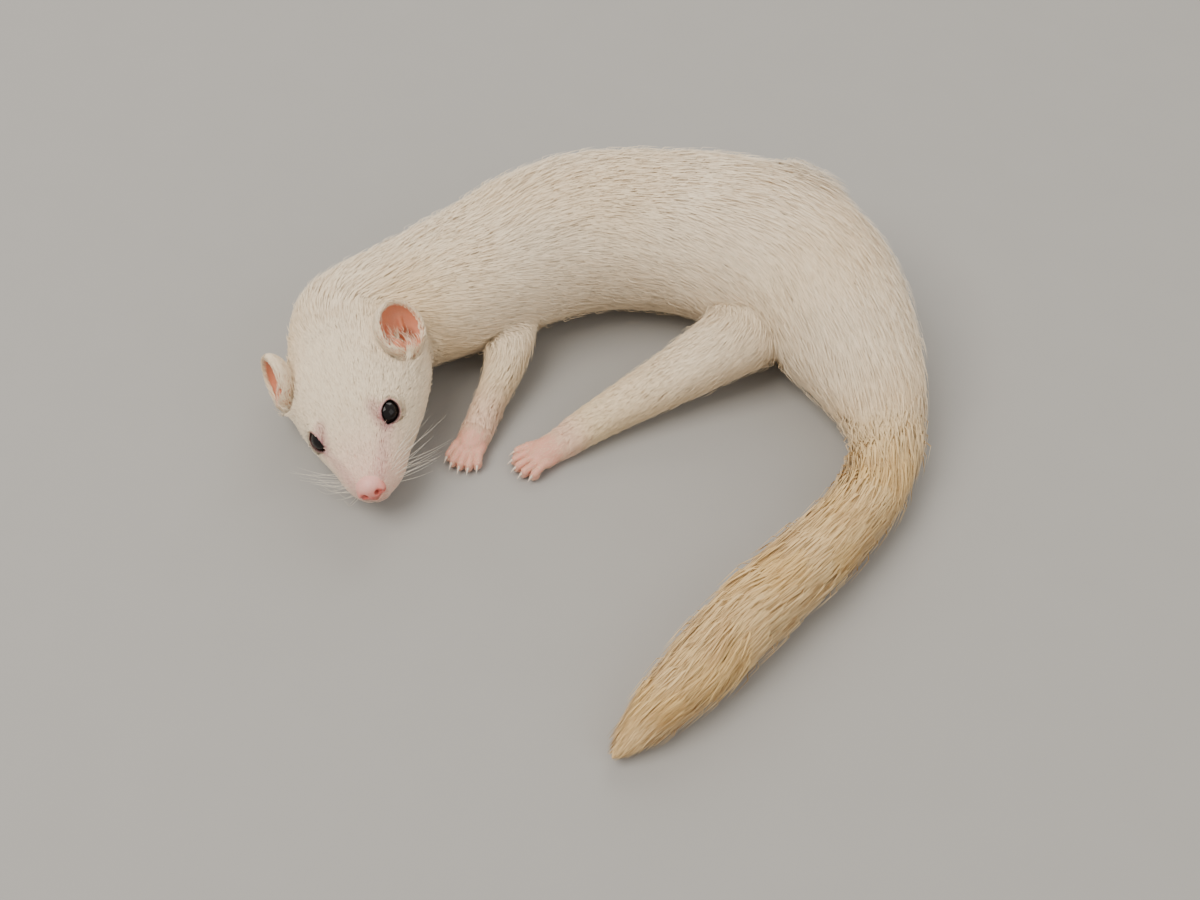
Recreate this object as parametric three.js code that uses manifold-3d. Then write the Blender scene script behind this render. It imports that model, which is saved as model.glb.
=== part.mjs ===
// A life-size ferret lying on its belly, curled to the left, with its chin on the ground.
// Millimetres, +Z up. The origin is on the ground under the ribs, +X runs towards the rump
// and -Y towards the nose and the tip of the tail.
// The surface of every solid is where the tips of the coat lie.
import * as THREE from "three";
import { ConvexGeometry } from "three/addons/geometries/ConvexGeometry.js";
import { mergeVertices } from "three/addons/utils/BufferGeometryUtils.js";
import Module from "manifold-3d";

const wasm = await Module();
wasm.setup();

// Driving dimensions
const GAP = 0.3; // between two nodes that touch
const PARTING = 0.15; // half of the gap, at each end of a length of the trunk
const EYE_RADIUS = 4.8;
const EYE_DEPTH = 3.5; // from the coat's surface to the middle of the eye
const LID_THICKNESS = 1.1;
const LID_OPENING = [8.6, 6]; // long, tall
const MOUTH_SLIT = 0.7;
const EAR_WIDTH = 20;
const EAR_HEIGHT = 21;
const EAR_DEPTH = 5.6;
const EAR_WALL = 1.6;
const CLAW_LENGTH = 3.6;
const CLAW_RADIUS = 0.9;
const ROUNDNESS = 2.25; // exponent of the sections, where 2 is an ellipse

// Materials
const coat = material(0xe9e1d2, 0.9);
const tailCoat = material(0xdccaa0, 0.9);
const bareSkin = material(0xd9a79c, 0.65);
const earSkin = material(0xd98f7c, 0.7);
const noseSkin = material(0xcf7e78, 0.45);
const darkEye = material(0x0b0908, 0.08);

function material(color, roughness) {
  return new THREE.MeshStandardMaterial({ color, roughness, metalness: 0 });
}

// Solids from three.js geometry
function solid(geometry) {
  const bare = new THREE.BufferGeometry();
  bare.setAttribute("position", geometry.getAttribute("position"));
  bare.setIndex(geometry.getIndex());
  const merged = mergeVertices(bare, 1e-4);
  const mesh = new wasm.Mesh({
    numProp: 3,
    vertProperties: merged.getAttribute("position").array,
    triVerts: new Uint32Array(merged.getIndex().array),
  });
  return new wasm.Manifold(mesh);
}

function union(pieces) {
  return pieces.reduce((whole, piece) => whole.add(piece));
}

// The largest closed surface of a solid, so that a loose scrap or a sealed hollow is dropped.
function largest(shape) {
  return shape.decompose().reduce((a, b) => (a.volume() > b.volume() ? a : b));
}

function ball(radii, at, turn = [0, 0, 0], frame = null, across = 16, along = 12) {
  const geometry = new THREE.SphereGeometry(1, across, along);
  geometry.scale(...radii);
  return placed(geometry, at, turn, frame);
}

function placed(geometry, at, turn, frame) {
  const euler = new THREE.Euler(...turn.map(THREE.MathUtils.degToRad), "ZYX");
  geometry.applyMatrix4(new THREE.Matrix4().makeRotationFromEuler(euler).setPosition(...at));
  if (frame) geometry.applyMatrix4(frame);
  return solid(geometry);
}

function smooth(rows) {
  const points = rows.map((row) => new THREE.Vector3(...row));
  return new THREE.CatmullRomCurve3(points, false, "catmullrom", 0.5);
}

// A seeded draw of numbers from 0 to 1, the same each time.
function seeded(seed) {
  let state = seed;
  return () => {
    state = (state * 1664525 + 1013904223) % 4294967296;
    return state / 4294967296;
  };
}

const signedPower = (value, power) => Math.sign(value) * Math.abs(value) ** power;

const SKYWARD = new THREE.Vector3(0, 0, 1);

// The smooth line and sizes through stations. Each station has its place (at), half width
// (wide) and height above (up) and below (down) the line.
function pathOf(stations) {
  const line = smooth(stations.map((s) => s.at));
  const sizes = smooth(stations.map((s) => [s.wide, s.up, s.down]));
  return { line, sizes, spans: stations.length - 1 };
}

// One section of a path, at t from 0 to 1: its middle, its half sizes and the ways across and up.
function sectionAt(path, t) {
  const ahead = path.line.getTangent(t);
  const left = new THREE.Vector3().crossVectors(SKYWARD, ahead).normalize();
  const top = new THREE.Vector3().crossVectors(ahead, left);
  return { middle: path.line.getPoint(t), size: path.sizes.getPoint(t), left, top };
}

// A point on a section's oval, at a share of its size and then grown.
function onSection({ middle, size, left, top }, angle, share = 1, grow = 0) {
  const reach = Math.sin(angle) > 0 ? size.y : size.z;
  const across = (size.x * share + grow) * signedPower(Math.cos(angle), 2 / ROUNDNESS);
  const upward = (reach * share + grow) * signedPower(Math.sin(angle), 2 / ROUNDNESS);
  return middle.clone().addScaledVector(left, across).addScaledVector(top, upward);
}

// A closed skin over rings of points, with one point that closes it at each end.
function skinOver(rings, start, end, frame = null) {
  const sides = rings[0].length;
  const last = (rings.length - 1) * sides;
  const points = [...rings.flat(), start, end];
  const faces = [];
  for (let k = 0; k < sides; k++) {
    const next = (k + 1) % sides;
    for (let a = 0; a < last; a += sides) {
      faces.push(a + k, a + next, a + sides + k, a + next, a + sides + next, a + sides + k);
    }
    faces.push(points.length - 2, next, k, points.length - 1, last + k, last + next);
  }
  const geometry = new THREE.BufferGeometry().setFromPoints(points);
  geometry.setIndex(faces);
  if (frame) geometry.applyMatrix4(frame);
  return solid(geometry);
}

// A closed skin of oval sections along the smooth line through stations, grown on every side.
function sweep(stations, { from = 0, to = 1, rings = 16, sides = 20, grow = 0, share, frame } = {}) {
  const path = pathOf(stations);
  const made = [];
  const middles = [];
  for (let i = 0; i <= rings; i++) {
    const t = from + ((to - from) * i) / rings;
    const section = sectionAt(path, t);
    if (i === 0) section.middle.addScaledVector(path.line.getTangent(t), -grow);
    if (i === rings) section.middle.addScaledVector(path.line.getTangent(t), grow);
    const size = share ? share(t * path.spans) : 1;
    const angles = Array.from({ length: sides }, (_, k) => (2 * Math.PI * k) / sides);
    made.push(angles.map((angle) => onSection(section, angle, size, grow)));
    middles.push(section.middle);
  }
  return skinOver(made, middles[0], middles[rings], frame);
}

// The head, in its own frame: x towards the nose, y to the left, z to the crown. It is rolled
// so that its left cheek is up.
const HEAD_AT = [-101, -54, 21];
const HEAD_AHEAD = new THREE.Vector3(0.145, -0.985, 0.06).normalize();
const HEAD_LEFT = new THREE.Vector3(0.905, 0.18, 0.385);
const headTop = new THREE.Vector3().crossVectors(HEAD_AHEAD, HEAD_LEFT).normalize();
const headLeft = new THREE.Vector3().crossVectors(headTop, HEAD_AHEAD);
const headFrame = new THREE.Matrix4().makeBasis(HEAD_AHEAD, headLeft, headTop).setPosition(...HEAD_AT);

const SKULL = [
  { at: [-20, 0, 0], wide: 10, up: 9, down: 8 },
  { at: [-14, 0, 0], wide: 20, up: 16, down: 14 },
  { at: [-4, 0, -0.5], wide: 27.5, up: 20.5, down: 19 },
  { at: [9, 0, -1.5], wide: 31, up: 22.5, down: 20 },
  { at: [22, 0, -2.5], wide: 30.5, up: 22.5, down: 19 },
  { at: [34, 0, -3.5], wide: 27, up: 21, down: 17.5 },
  { at: [44, 0, -4.5], wide: 22.5, up: 18.5, down: 15.5 },
  { at: [53, 0, -6], wide: 17.5, up: 14.3, down: 13.2 },
  { at: [61, 0, -7.2], wide: 14, up: 11, down: 11.5 },
  { at: [67.5, 0, -8], wide: 11.3, up: 8.8, down: 9.6 },
  { at: [71.3, 0, -8.6], wide: 8, up: 6.6, down: 7.6 },
  { at: [73, 0, -8.8], wide: 3.6, up: 3, down: 3.6 },
];
const NOSE = [
  { at: [66, 0, -4], wide: 3.8, up: 3, down: 3 },
  { at: [70, 0, -4.6], wide: 5.6, up: 4.2, down: 4 },
  { at: [73.4, 0, -5.6], wide: 5.5, up: 4.1, down: 4.3 },
  { at: [75, 0, -6.2], wide: 3.6, up: 2.5, down: 2.9 },
];
const MOUTH_LINE = [
  [77, -13.2],
  [71, -13.6],
  [64, -15.6],
  [57, -15.6],
  [51, -13.4],
];
const EYE_AT = [47, 16.6, 6]; // on the coat's surface, left eye
const EYE_LOOK = [0.42, 0.68, 0.6];
const EYE_LENGTHWISE = [1, -0.3, -0.35];

const mirrored = ([x, y, z], side) => [x, y * side, z];
const direction = (row, side) => new THREE.Vector3(...mirrored(row, side)).normalize();

// The frame at an eye's middle: x along the lids, y across them, z the way the eye looks.
function eyeFrame(side) {
  const look = direction(EYE_LOOK, side);
  const middle = new THREE.Vector3(...mirrored(EYE_AT, side)).addScaledVector(look, -EYE_DEPTH);
  const tall = new THREE.Vector3().crossVectors(look, direction(EYE_LENGTHWISE, side)).normalize();
  const long = new THREE.Vector3().crossVectors(tall, look);
  return new THREE.Matrix4().makeBasis(long, tall, look).setPosition(middle).premultiply(headFrame);
}

function eyeBall(side, radius, across, along) {
  return ball([radius, radius, radius], [0, 0, 0], [0, 0, 0], eyeFrame(side), across, along);
}

// The almond opening between the lids, as a prism from the eye's middle outwards.
function lidOpening(side) {
  const [long, tall] = LID_OPENING.map((v) => v / 2);
  const points = [];
  const steps = 12;
  for (let i = 0; i < steps; i++) {
    const a = (2 * Math.PI * i) / steps;
    const height = signedPower(Math.sin(a), 1.2); // above 1 draws the corners to a point
    points.push(new THREE.Vector2(long * Math.cos(a), tall * height));
  }
  const depth = 2 * EYE_RADIUS;
  const prism = new THREE.ExtrudeGeometry(new THREE.Shape(points), { depth, bevelEnabled: false });
  return placed(prism, [0, 0, 0], [0, 0, 0], eyeFrame(side));
}

function mouthSlit() {
  const line = new THREE.SplineCurve(MOUTH_LINE.map((p) => new THREE.Vector2(...p)));
  const along = line.getPoints(6);
  const upper = along.map((p) => new THREE.Vector2(p.x, p.y + MOUTH_SLIT / 2));
  const lower = along.map((p) => new THREE.Vector2(p.x, p.y - MOUTH_SLIT / 2)).reverse();
  const half = 20;
  const geometry = new THREE.ExtrudeGeometry(new THREE.Shape([...upper, ...lower]), {
    depth: 2 * half,
    bevelEnabled: false,
  });
  geometry.translate(0, 0, -half);
  geometry.rotateX(Math.PI / 2); // the outline's y becomes the head's z
  return placed(geometry, [0, 0, 0], [0, 0, 0], headFrame);
}

const WHISKER_PAD = { radii: [11, 6.6, 6.4], at: [61.5, 6.6, -9.4], turn: [0, 8, -14] };
const CHIN = { radii: [12, 7.4, 4.8], at: [58, 0, -16], turn: [0, 6, 0] };

function whiskerPad(side) {
  const { radii, at, turn } = WHISKER_PAD;
  return ball(radii, mirrored(at, side), [turn[0], turn[1], turn[2] * side], headFrame, 12, 8);
}

function headSolid() {
  const skull = sweep(SKULL, { rings: 24, sides: 24, frame: headFrame });
  const chin = ball(CHIN.radii, CHIN.at, CHIN.turn, headFrame, 12, 8);
  let head = union([skull, chin, whiskerPad(1), whiskerPad(-1)]);
  for (const side of [1, -1]) head = head.add(eyeBall(side, EYE_RADIUS + LID_THICKNESS, 12, 8));
  head = head.subtract(mouthSlit()).subtract(noseBlank(GAP));
  for (const side of [1, -1]) {
    head = head.subtract(eyeBall(side, EYE_RADIUS + GAP, 12, 8)).subtract(lidOpening(side));
    head = head.subtract(earCup(side));
  }
  return head;
}

function noseBlank(grow = 0) {
  return sweep(NOSE, { rings: 6, sides: 12, grow, frame: headFrame });
}

const NOSTRIL = { radii: [2.8, 1.1, 1.4], at: [74.8, 2.9, -6.4], turn: [-20, 0, 24] };
const NOSTRIL_SLIT = { radii: [1.6, 0.5, 2.4], at: [74.8, 5.4, -7.6], turn: [0, 0, 0] };

function nose() {
  let pad = noseBlank();
  for (const { radii, at, turn } of [NOSTRIL, NOSTRIL_SLIT]) {
    for (const side of [1, -1]) {
      const turned = [turn[0] * side, turn[1], turn[2] * side];
      pad = pad.subtract(ball(radii, mirrored(at, side), turned, headFrame, 8, 6));
    }
  }
  return pad;
}

// An ear is a cupped shell: a flattened ball with a smaller one taken out of its open side.
const EAR_AT = [17, 27.5, 15];
const EAR_OPEN = [0.4, 0.8, 0.4];
const EAR_TIP = [-0.5, 0.12, 0.85];

// The frame of an ear: x out of its open side, z towards its tip.
function earFrame(side) {
  const open = direction(EAR_OPEN, side);
  const across = new THREE.Vector3().crossVectors(direction(EAR_TIP, side), open).normalize();
  const tip = new THREE.Vector3().crossVectors(open, across);
  const at = new THREE.Vector3(...mirrored(EAR_AT, side));
  return new THREE.Matrix4().makeBasis(open, across, tip).setPosition(at).premultiply(headFrame);
}

function earCup(side) {
  const radii = [EAR_DEPTH + 0.4, EAR_WIDTH / 2 - EAR_WALL, EAR_HEIGHT / 2 - EAR_WALL];
  return ball(radii, [2.2, 0, 0], [0, 0, 0], earFrame(side), 14, 9);
}

function ear(side) {
  const radii = [EAR_DEPTH, EAR_WIDTH / 2, EAR_HEIGHT / 2];
  return ball(radii, [0, 0, 0], [0, 0, 0], earFrame(side), 14, 9).subtract(earCup(side));
}

// The back, from inside the head to the tip of the tail.
const BACK = [
  { at: [-105, -64, 24], wide: 10, up: 8, down: 8 },
  { at: [-105, -56, 24], wide: 22, up: 17, down: 16 },
  { at: [-103, -46, 25], wide: 25.5, up: 19.5, down: 23 },
  { at: [-93, -38, 26], wide: 26, up: 21.5, down: 25.5 },
  { at: [-75, -31, 27.5], wide: 28, up: 25.5, down: 27.5 },
  { at: [-50, -19, 29.5], wide: 30, up: 29.5, down: 30 },
  { at: [-28, -4.4, 31], wide: 32, up: 32, down: 31.5 },
  { at: [-4, 4, 32], wide: 33, up: 33, down: 33 },
  { at: [19, 4.5, 32], wide: 33, up: 33, down: 33 },
  { at: [43, 1, 33], wide: 34, up: 34, down: 34 },
  { at: [66, -9, 34], wide: 35.5, up: 36, down: 35 },
  { at: [86, -25, 33], wide: 34, up: 34, down: 34 },
  { at: [99.5, -48, 29], wide: 29.5, up: 29, down: 30 },
  { at: [110, -71, 22.5], wide: 22, up: 21.5, down: 23 },
  { at: [114.5, -90, 17.5], wide: 16, up: 15, down: 17.5 },
  { at: [114, -104, 15], wide: 13.4, up: 12.6, down: 15 },
  { at: [108, -120, 13.8], wide: 12.8, up: 12.2, down: 13.8 },
  { at: [94, -138, 13.5], wide: 13.4, up: 12.6, down: 13.5 },
  { at: [76, -156, 13.5], wide: 14, up: 13, down: 13.5 },
  { at: [57, -175, 13], wide: 14.2, up: 12.5, down: 13 },
  { at: [38, -196, 12], wide: 13, up: 11.5, down: 12 },
  { at: [20, -215, 9.5], wide: 9, up: 8, down: 9.5 },
  { at: [9, -225.5, 6.5], wide: 5, up: 4, down: 6.5 },
  { at: [3, -230, 4.5], wide: 1, up: 1, down: 1 },
];
const TRUNK_PARTS = [
  // name, from and to in stations
  ["neck", 0, 4.6],
  ["chest", 4.6, 6.9],
  ["waist", 6.9, 9.3],
  ["hips", 9.3, 13.4],
];
const TAIL_PARTS = [
  ["tail_root", 13.4, 17.2],
  ["tail_middle", 17.2, 19.6],
  ["tail_tip", 19.6, 22.3],
];
const STATION_STEP = 22; // distance between two stations, about
const backPath = pathOf(BACK);

// A length of the back, from one station to another, short of each by half of the gap.
function lengthOf(from, to, { rings, sides, share, grow = 0 }) {
  const trim = PARTING / STATION_STEP;
  const start = (from > 0 ? from + trim : from) / backPath.spans;
  const end = (to - trim) / backPath.spans;
  return sweep(BACK, { rings, sides, from: start, to: end, share, grow });
}

function trunkWhole(grow) {
  return sweep(BACK, { rings: 48, sides: 24, to: 15 / backPath.spans, grow });
}

// The tail's long coat lies in locks on a core. The core narrows behind the hips.
const CORE_SHARE = 0.62; // of the way from the middle to the tips of the coat
const CORE_NARROWS = [13.4, 15]; // stations
const LOCK_LENGTH = 22;
const LOCK_WIDTH = 9;
const LOCK_ROW_STEP = 16.5;
const LOCKS_A_ROW = 7;
const LOCK_ROWS = [13.58, 22.1]; // stations of the first and the last row
const LOCK_ROOT = 0.8; // of the core's own share, so that the root is well inside it
const LOCK_REACH = 1.02; // of the way to the tips of the coat
const LOCK_OVERHANG = 2.2; // stations that the longest lock reaches ahead, at most
const ROOM = 0.45; // to the corners of the room round a lock, which leaves the gap at its faces
const LOCK_FULL_WIDTH = 11; // half width of the tail that carries a full row
const LOCK_FORM = [
  // how far along, share of the width, thickness
  [0, 0.8, 1.8],
  [0.4, 1, 1.4],
  [0.75, 0.66, 0.9],
];

function coreShare(station) {
  const [start, end] = CORE_NARROWS;
  return 1 - (1 - CORE_SHARE) * THREE.MathUtils.smoothstep(station, start, end);
}

// A lock is a flat blade that starts inside the core, rises along the lie and ends in a point.
function lockRings({ station, angle, length, tip, sway }) {
  const { line, spans } = backPath;
  const before = line.getPoint((station - 0.5) / spans);
  const pace = line.getPoint((station + 0.5) / spans).distanceTo(before);
  const rootShare = coreShare(station) * LOCK_ROOT;
  const spineAt = (f) => {
    const t = Math.min(1, (station + (f * length) / pace) / spans);
    const share = rootShare + (tip - rootShare) * f ** 0.7;
    const section = sectionAt(backPath, t);
    return { point: onSection(section, angle + sway * f * f, share), middle: section.middle };
  };
  const rings = LOCK_FORM.map(([f, width, thick]) => {
    const { point, middle } = spineAt(f);
    const ahead = spineAt(f + 0.1).point.sub(point).normalize();
    const across = new THREE.Vector3().crossVectors(point.clone().sub(middle), ahead).normalize();
    const out = new THREE.Vector3().crossVectors(ahead, across);
    const half = (LOCK_WIDTH / 2) * width;
    return [
      point.clone().addScaledVector(across, half),
      point.clone().addScaledVector(out, thick),
      point.clone().addScaledVector(across, -half),
    ];
  });
  return { rings, root: spineAt(0).point, end: spineAt(1).point };
}

function lock(draft) {
  const { rings, root, end } = lockRings(draft);
  return skinOver(rings, root, end);
}

// The room that a lock takes with the gap round it, one rounded block from ring to ring.
function roomOf(draft) {
  const { rings, end } = lockRings(draft);
  const sides = [[1, 0, 0], [0, 1, 0], [0, 0, 1]].flatMap((row) => {
    const way = new THREE.Vector3(...row).multiplyScalar(ROOM);
    return [way, way.clone().negate()];
  });
  const blocks = rings.map((ring, i) => {
    const corners = [...ring, ...(rings[i + 1] ?? [end])];
    const points = corners.flatMap((corner) => sides.map((way) => corner.clone().add(way)));
    return solid(new ConvexGeometry(points));
  });
  return union(blocks);
}

// Every lock of the tail, in rows that are staggered like tiles and vary as hair does.
function tailLocks() {
  const draw = seeded(7);
  const spread = (half) => half * (2 * draw() - 1);
  const locks = [];
  let station = LOCK_ROWS[0];
  for (let row = 0; station < LOCK_ROWS[1]; row++) {
    const t = station / backPath.spans;
    const fullness = Math.min(1, backPath.sizes.getPoint(t).x / LOCK_FULL_WIDTH);
    const count = Math.round(LOCKS_A_ROW * fullness);
    for (let i = 0; i < count; i++) {
      locks.push({
        station: station + spread(0.07),
        angle: (2 * Math.PI * (i + (row % 2) / 2 + spread(0.15))) / count,
        length: LOCK_LENGTH * (1 + spread(0.18)),
        tip: LOCK_REACH * (1 + spread(0.05)),
        sway: spread(0.25),
      });
    }
    const ahead = backPath.line.getPoint(t + 0.5 / backPath.spans);
    const pace = 2 * ahead.distanceTo(backPath.line.getPoint(t));
    station += LOCK_ROW_STEP / Math.max(pace, LOCK_ROW_STEP);
  }
  return locks;
}

const locksBetween = (locks, from, to) => locks.filter((l) => l.station > from && l.station <= to);

// Limbs
const FORELEG_LEFT = [
  { at: [-36, -26, 25], wide: 12, up: 12, down: 12 },
  { at: [-37, -44, 17], wide: 10.5, up: 10, down: 10 },
  { at: [-41, -60, 11.5], wide: 8, up: 7.6, down: 8 },
  { at: [-47, -76, 8], wide: 6.6, up: 6, down: 6.5 },
  { at: [-51, -86, 6], wide: 6.4, up: 5, down: 5.5 },
];
const FORELEG_RIGHT = [
  { at: [-66, -6, 22], wide: 12, up: 11, down: 12 },
  { at: [-76, 5, 14], wide: 10.5, up: 9, down: 11 },
  { at: [-89, 1, 9], wide: 8, up: 7.6, down: 8 },
  { at: [-101, -10, 7.5], wide: 6.6, up: 6, down: 6.5 },
  { at: [-107, -18, 6], wide: 6.4, up: 5, down: 5.5 },
];
const HINDLEG_LEFT = [
  { at: [82, -30, 28], wide: 18, up: 17, down: 18 },
  { at: [67, -42, 25], wide: 17, up: 16, down: 18 },
  { at: [50, -53, 21], wide: 14.5, up: 13, down: 14 },
  { at: [30, -64, 15.5], wide: 11.6, up: 10.5, down: 12 },
  { at: [10, -75, 11], wide: 9.2, up: 8.6, down: 10 },
  { at: [-5, -84, 8], wide: 8, up: 7, down: 8 },
  { at: [-15, -91, 6], wide: 7.4, up: 5.4, down: 6 },
];
const HINDLEG_RIGHT = [
  { at: [86, -8, 26], wide: 18, up: 15, down: 20 },
  { at: [82, 12, 21], wide: 17, up: 15, down: 18 },
  { at: [74, 26, 14], wide: 14, up: 12, down: 13 },
  { at: [62, 33, 9], wide: 9, up: 8.5, down: 8.5 },
  { at: [48, 37, 7], wide: 8, up: 6.5, down: 7 },
  { at: [36, 38, 6], wide: 7.4, up: 5.4, down: 6 },
];

// A paw in its own frame: x towards the toes, y to the left, z up from the ground.
const TOE_REACH = [0.74, 0.95, 1, 0.95, 0.74]; // of the longest toe, from one side to the other
const TOE_FAN = 6.5; // degrees from one toe to the next
const PALM_HEIGHT = 5.4;

function paw(at, heading, { palm, width, toe }) {
  const turned = new THREE.Matrix4().makeRotationZ(THREE.MathUtils.degToRad(heading));
  const frame = turned.setPosition(...at);
  const pieces = [
    ball([palm * 0.72, width / 2, PALM_HEIGHT], [palm * 0.42, 0, 4.6], [0, 6, 0], frame, 10, 7),
  ];
  TOE_REACH.forEach((reach, i) => {
    const place = i - (TOE_REACH.length - 1) / 2;
    const fan = THREE.MathUtils.degToRad(place * TOE_FAN);
    const root = [palm * 0.7, (place / 2) * (width / 2 - 1.9)];
    const along = (d, z) => [root[0] + d * Math.cos(fan), root[1] + d * Math.sin(fan), z];
    const length = toe * reach;
    const stations = [
      { at: along(0, 4.2), wide: 2.5, up: 2.8, down: 3 },
      { at: along(length * 0.5, 4.6), wide: 2.5, up: 2.5, down: 3 },
      { at: along(length, 2.9), wide: 2.3, up: 2, down: 2.4 },
      { at: along(length + 1.8, 2.7), wide: 1.1, up: 1, down: 1 },
    ];
    pieces.push(sweep(stations, { rings: 3, sides: 5, frame }));
    pieces.push(claw((d, z) => along(length + d, z), frame));
  });
  return union(pieces);
}

// A claw is a thin cone that starts inside the toe's end and bends down to the ground.
function claw(along, frame) {
  const r = CLAW_RADIUS;
  const stations = [
    { at: along(0.2, 3.8), wide: r, up: r, down: r },
    { at: along(CLAW_LENGTH * 0.6, 3.5), wide: r * 0.8, up: r * 0.8, down: r * 0.8 },
    { at: along(CLAW_LENGTH, 1.5), wide: 0.25, up: 0.25, down: 0.25 },
  ];
  return sweep(stations, { rings: 2, sides: 4, frame });
}

const PAWS = {
  forepaw_left: { at: [-49.5, -83, 0.4], heading: 249, size: { palm: 13, width: 13, toe: 8.5 } },
  forepaw_right: { at: [-104, -15, 0.4], heading: 228, size: { palm: 13, width: 13, toe: 8.5 } },
  hindpaw_left: { at: [-12, -89, 0.4], heading: 211, size: { palm: 18, width: 13.5, toe: 10.5 } },
  hindpaw_right: { at: [40, 37.8, 0.4], heading: 178, size: { palm: 18, width: 13.5, toe: 10.5 } },
};

// Assembly
const ferret = new THREE.Group();
const ground = placed(new THREE.BoxGeometry(600, 600, 60), [0, -80, -30], [0, 0, 0], null);

function addNode(name, shape, look) {
  const mesh = largest(shape.subtract(ground)).getMesh();
  const geometry = new THREE.BufferGeometry();
  geometry.setAttribute("position", new THREE.BufferAttribute(mesh.vertProperties, 3));
  geometry.setIndex(new THREE.BufferAttribute(mesh.triVerts, 1));
  geometry.computeVertexNormals();
  const made = new THREE.Mesh(geometry, look);
  made.name = name;
  ferret.add(made);
}

function addHead() {
  const skullAround = sweep(SKULL, { rings: 24, sides: 24, grow: GAP, frame: headFrame });
  const trunk = trunkWhole(GAP);
  addNode("head", headSolid(), coat);
  addNode("nose", nose(), noseSkin);
  for (const [name, side] of [["left", 1], ["right", -1]]) {
    addNode(`eye_${name}`, eyeBall(side, EYE_RADIUS, 12, 8), darkEye);
    addNode(`ear_${name}`, ear(side).subtract(skullAround).subtract(trunk), earSkin);
  }
  return skullAround;
}

function addTrunk(skullAround) {
  for (const [name, from, to] of TRUNK_PARTS) {
    let part = lengthOf(from, to, { rings: Math.round((to - from) * 3), sides: 24 });
    if (name === "neck") part = part.subtract(skullAround);
    addNode(name, part, coat);
  }
  const locks = tailLocks();
  let before = null;
  for (const [name, from, to] of TAIL_PARTS) {
    const coreForm = { rings: Math.round((to - from) * 3), sides: 14, share: coreShare };
    const own = locksBetween(locks, from, to);
    const part = union([lengthOf(from, to, coreForm), ...own.map(lock)]);
    addNode(name, before ? part.subtract(before) : part, tailCoat);
    const overhanging = own.filter((draft) => draft.station > to - LOCK_OVERHANG);
    before = union([lengthOf(from, to, { ...coreForm, grow: GAP }), ...overhanging.map(roomOf)]);
  }
}

function addLimbs(skullAround) {
  const trunk = trunkWhole(GAP);
  const legs = {
    foreleg_left: [FORELEG_LEFT, "forepaw_left"],
    foreleg_right: [FORELEG_RIGHT, "forepaw_right"],
    hindleg_left: [HINDLEG_LEFT, "hindpaw_left"],
    hindleg_right: [HINDLEG_RIGHT, "hindpaw_right"],
  };
  for (const [name, [stations, pawName]] of Object.entries(legs)) {
    const { at, heading, size } = PAWS[pawName];
    const foot = paw(at, heading, size).subtract(trunk).subtract(skullAround);
    const legAround = sweep(stations, { rings: 10, sides: 14, grow: GAP });
    const leg = sweep(stations, { rings: 10, sides: 14 }).subtract(trunk).subtract(skullAround);
    addNode(name, leg, coat);
    addNode(pawName, foot.subtract(legAround), bareSkin);
  }
}

const skullAround = addHead();
addTrunk(skullAround);
addLimbs(skullAround);

export default ferret;
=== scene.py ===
"""A life-size ferret, curled to its left with its chin on the ground.

Millimetres until a mesh is made, +Z up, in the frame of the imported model. The solids' surface is
where the tips of the coat lie, so the skin lies inside it by the coat's depth.
"""

import math
from itertools import product
from types import SimpleNamespace

import bmesh
import bpy
import numpy as np
from mathutils import Matrix, Vector
from mathutils.bvhtree import BVHTree
from mathutils.kdtree import KDTree


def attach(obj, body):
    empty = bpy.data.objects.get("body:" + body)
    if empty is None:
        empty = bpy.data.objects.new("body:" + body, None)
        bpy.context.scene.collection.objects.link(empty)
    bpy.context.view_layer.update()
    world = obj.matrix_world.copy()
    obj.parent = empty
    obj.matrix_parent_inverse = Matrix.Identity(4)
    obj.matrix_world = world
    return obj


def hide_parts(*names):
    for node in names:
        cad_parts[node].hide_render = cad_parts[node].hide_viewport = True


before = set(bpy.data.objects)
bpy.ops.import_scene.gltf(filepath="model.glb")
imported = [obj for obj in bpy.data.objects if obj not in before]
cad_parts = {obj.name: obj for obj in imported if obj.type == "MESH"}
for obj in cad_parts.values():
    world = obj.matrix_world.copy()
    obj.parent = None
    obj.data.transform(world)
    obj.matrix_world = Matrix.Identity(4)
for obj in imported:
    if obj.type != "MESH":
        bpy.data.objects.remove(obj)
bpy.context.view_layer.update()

MM = 0.001
ROUNDNESS = 2.25  # exponent of the body's sections, where 2 is an ellipse
EYE_RADIUS = 5
EYE_DEPTH = 4.2  # from the coat's surface to the middle of the eye
LID_THICKNESS = 1.2
LID_OPENING = (9.2, 7.2)  # long, tall
EAR_SHELL = (5.6, 11, 11)  # half sizes out of the cup, across it and up to its tip
EAR_WALL = 1.1
EAR_HOLLOW = (EAR_SHELL[0] + 0.3, EAR_SHELL[1] - EAR_WALL, EAR_SHELL[2] - EAR_WALL)
HOLLOW_OUT = 2  # from the shell's middle to the hollow's
CLAW_LENGTH = 4.6
CLAW_RADIUS = 0.75
FLOOR = 0.1  # height of the lowest skin and hair
VOXEL = 1.3  # of the body's mesh
BLOCK = 20000  # points that are located at once
EMPTY = 9.0  # distance in clay before a shape is added

rng = np.random.default_rng(11)


# Vectors

def unit(v):
    v = np.asarray(v, float)
    return v / np.maximum(np.linalg.norm(v, axis=-1, keepdims=True), 1e-9)


def dot(a, b):
    return np.sum(a * b, axis=-1, keepdims=True)


def along_surface(ways, normals):
    return unit(ways - dot(ways, normals) * normals)


def smoothstep(x, low, high):
    t = np.clip((np.asarray(x, float) - low) / (high - low), 0, 1)
    return t * t * (3 - 2 * t)


def fade(x, low, high):
    return 1 - smoothstep(x, low, high)


def away(points, place):
    return np.linalg.norm(points - place, axis=1)


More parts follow.
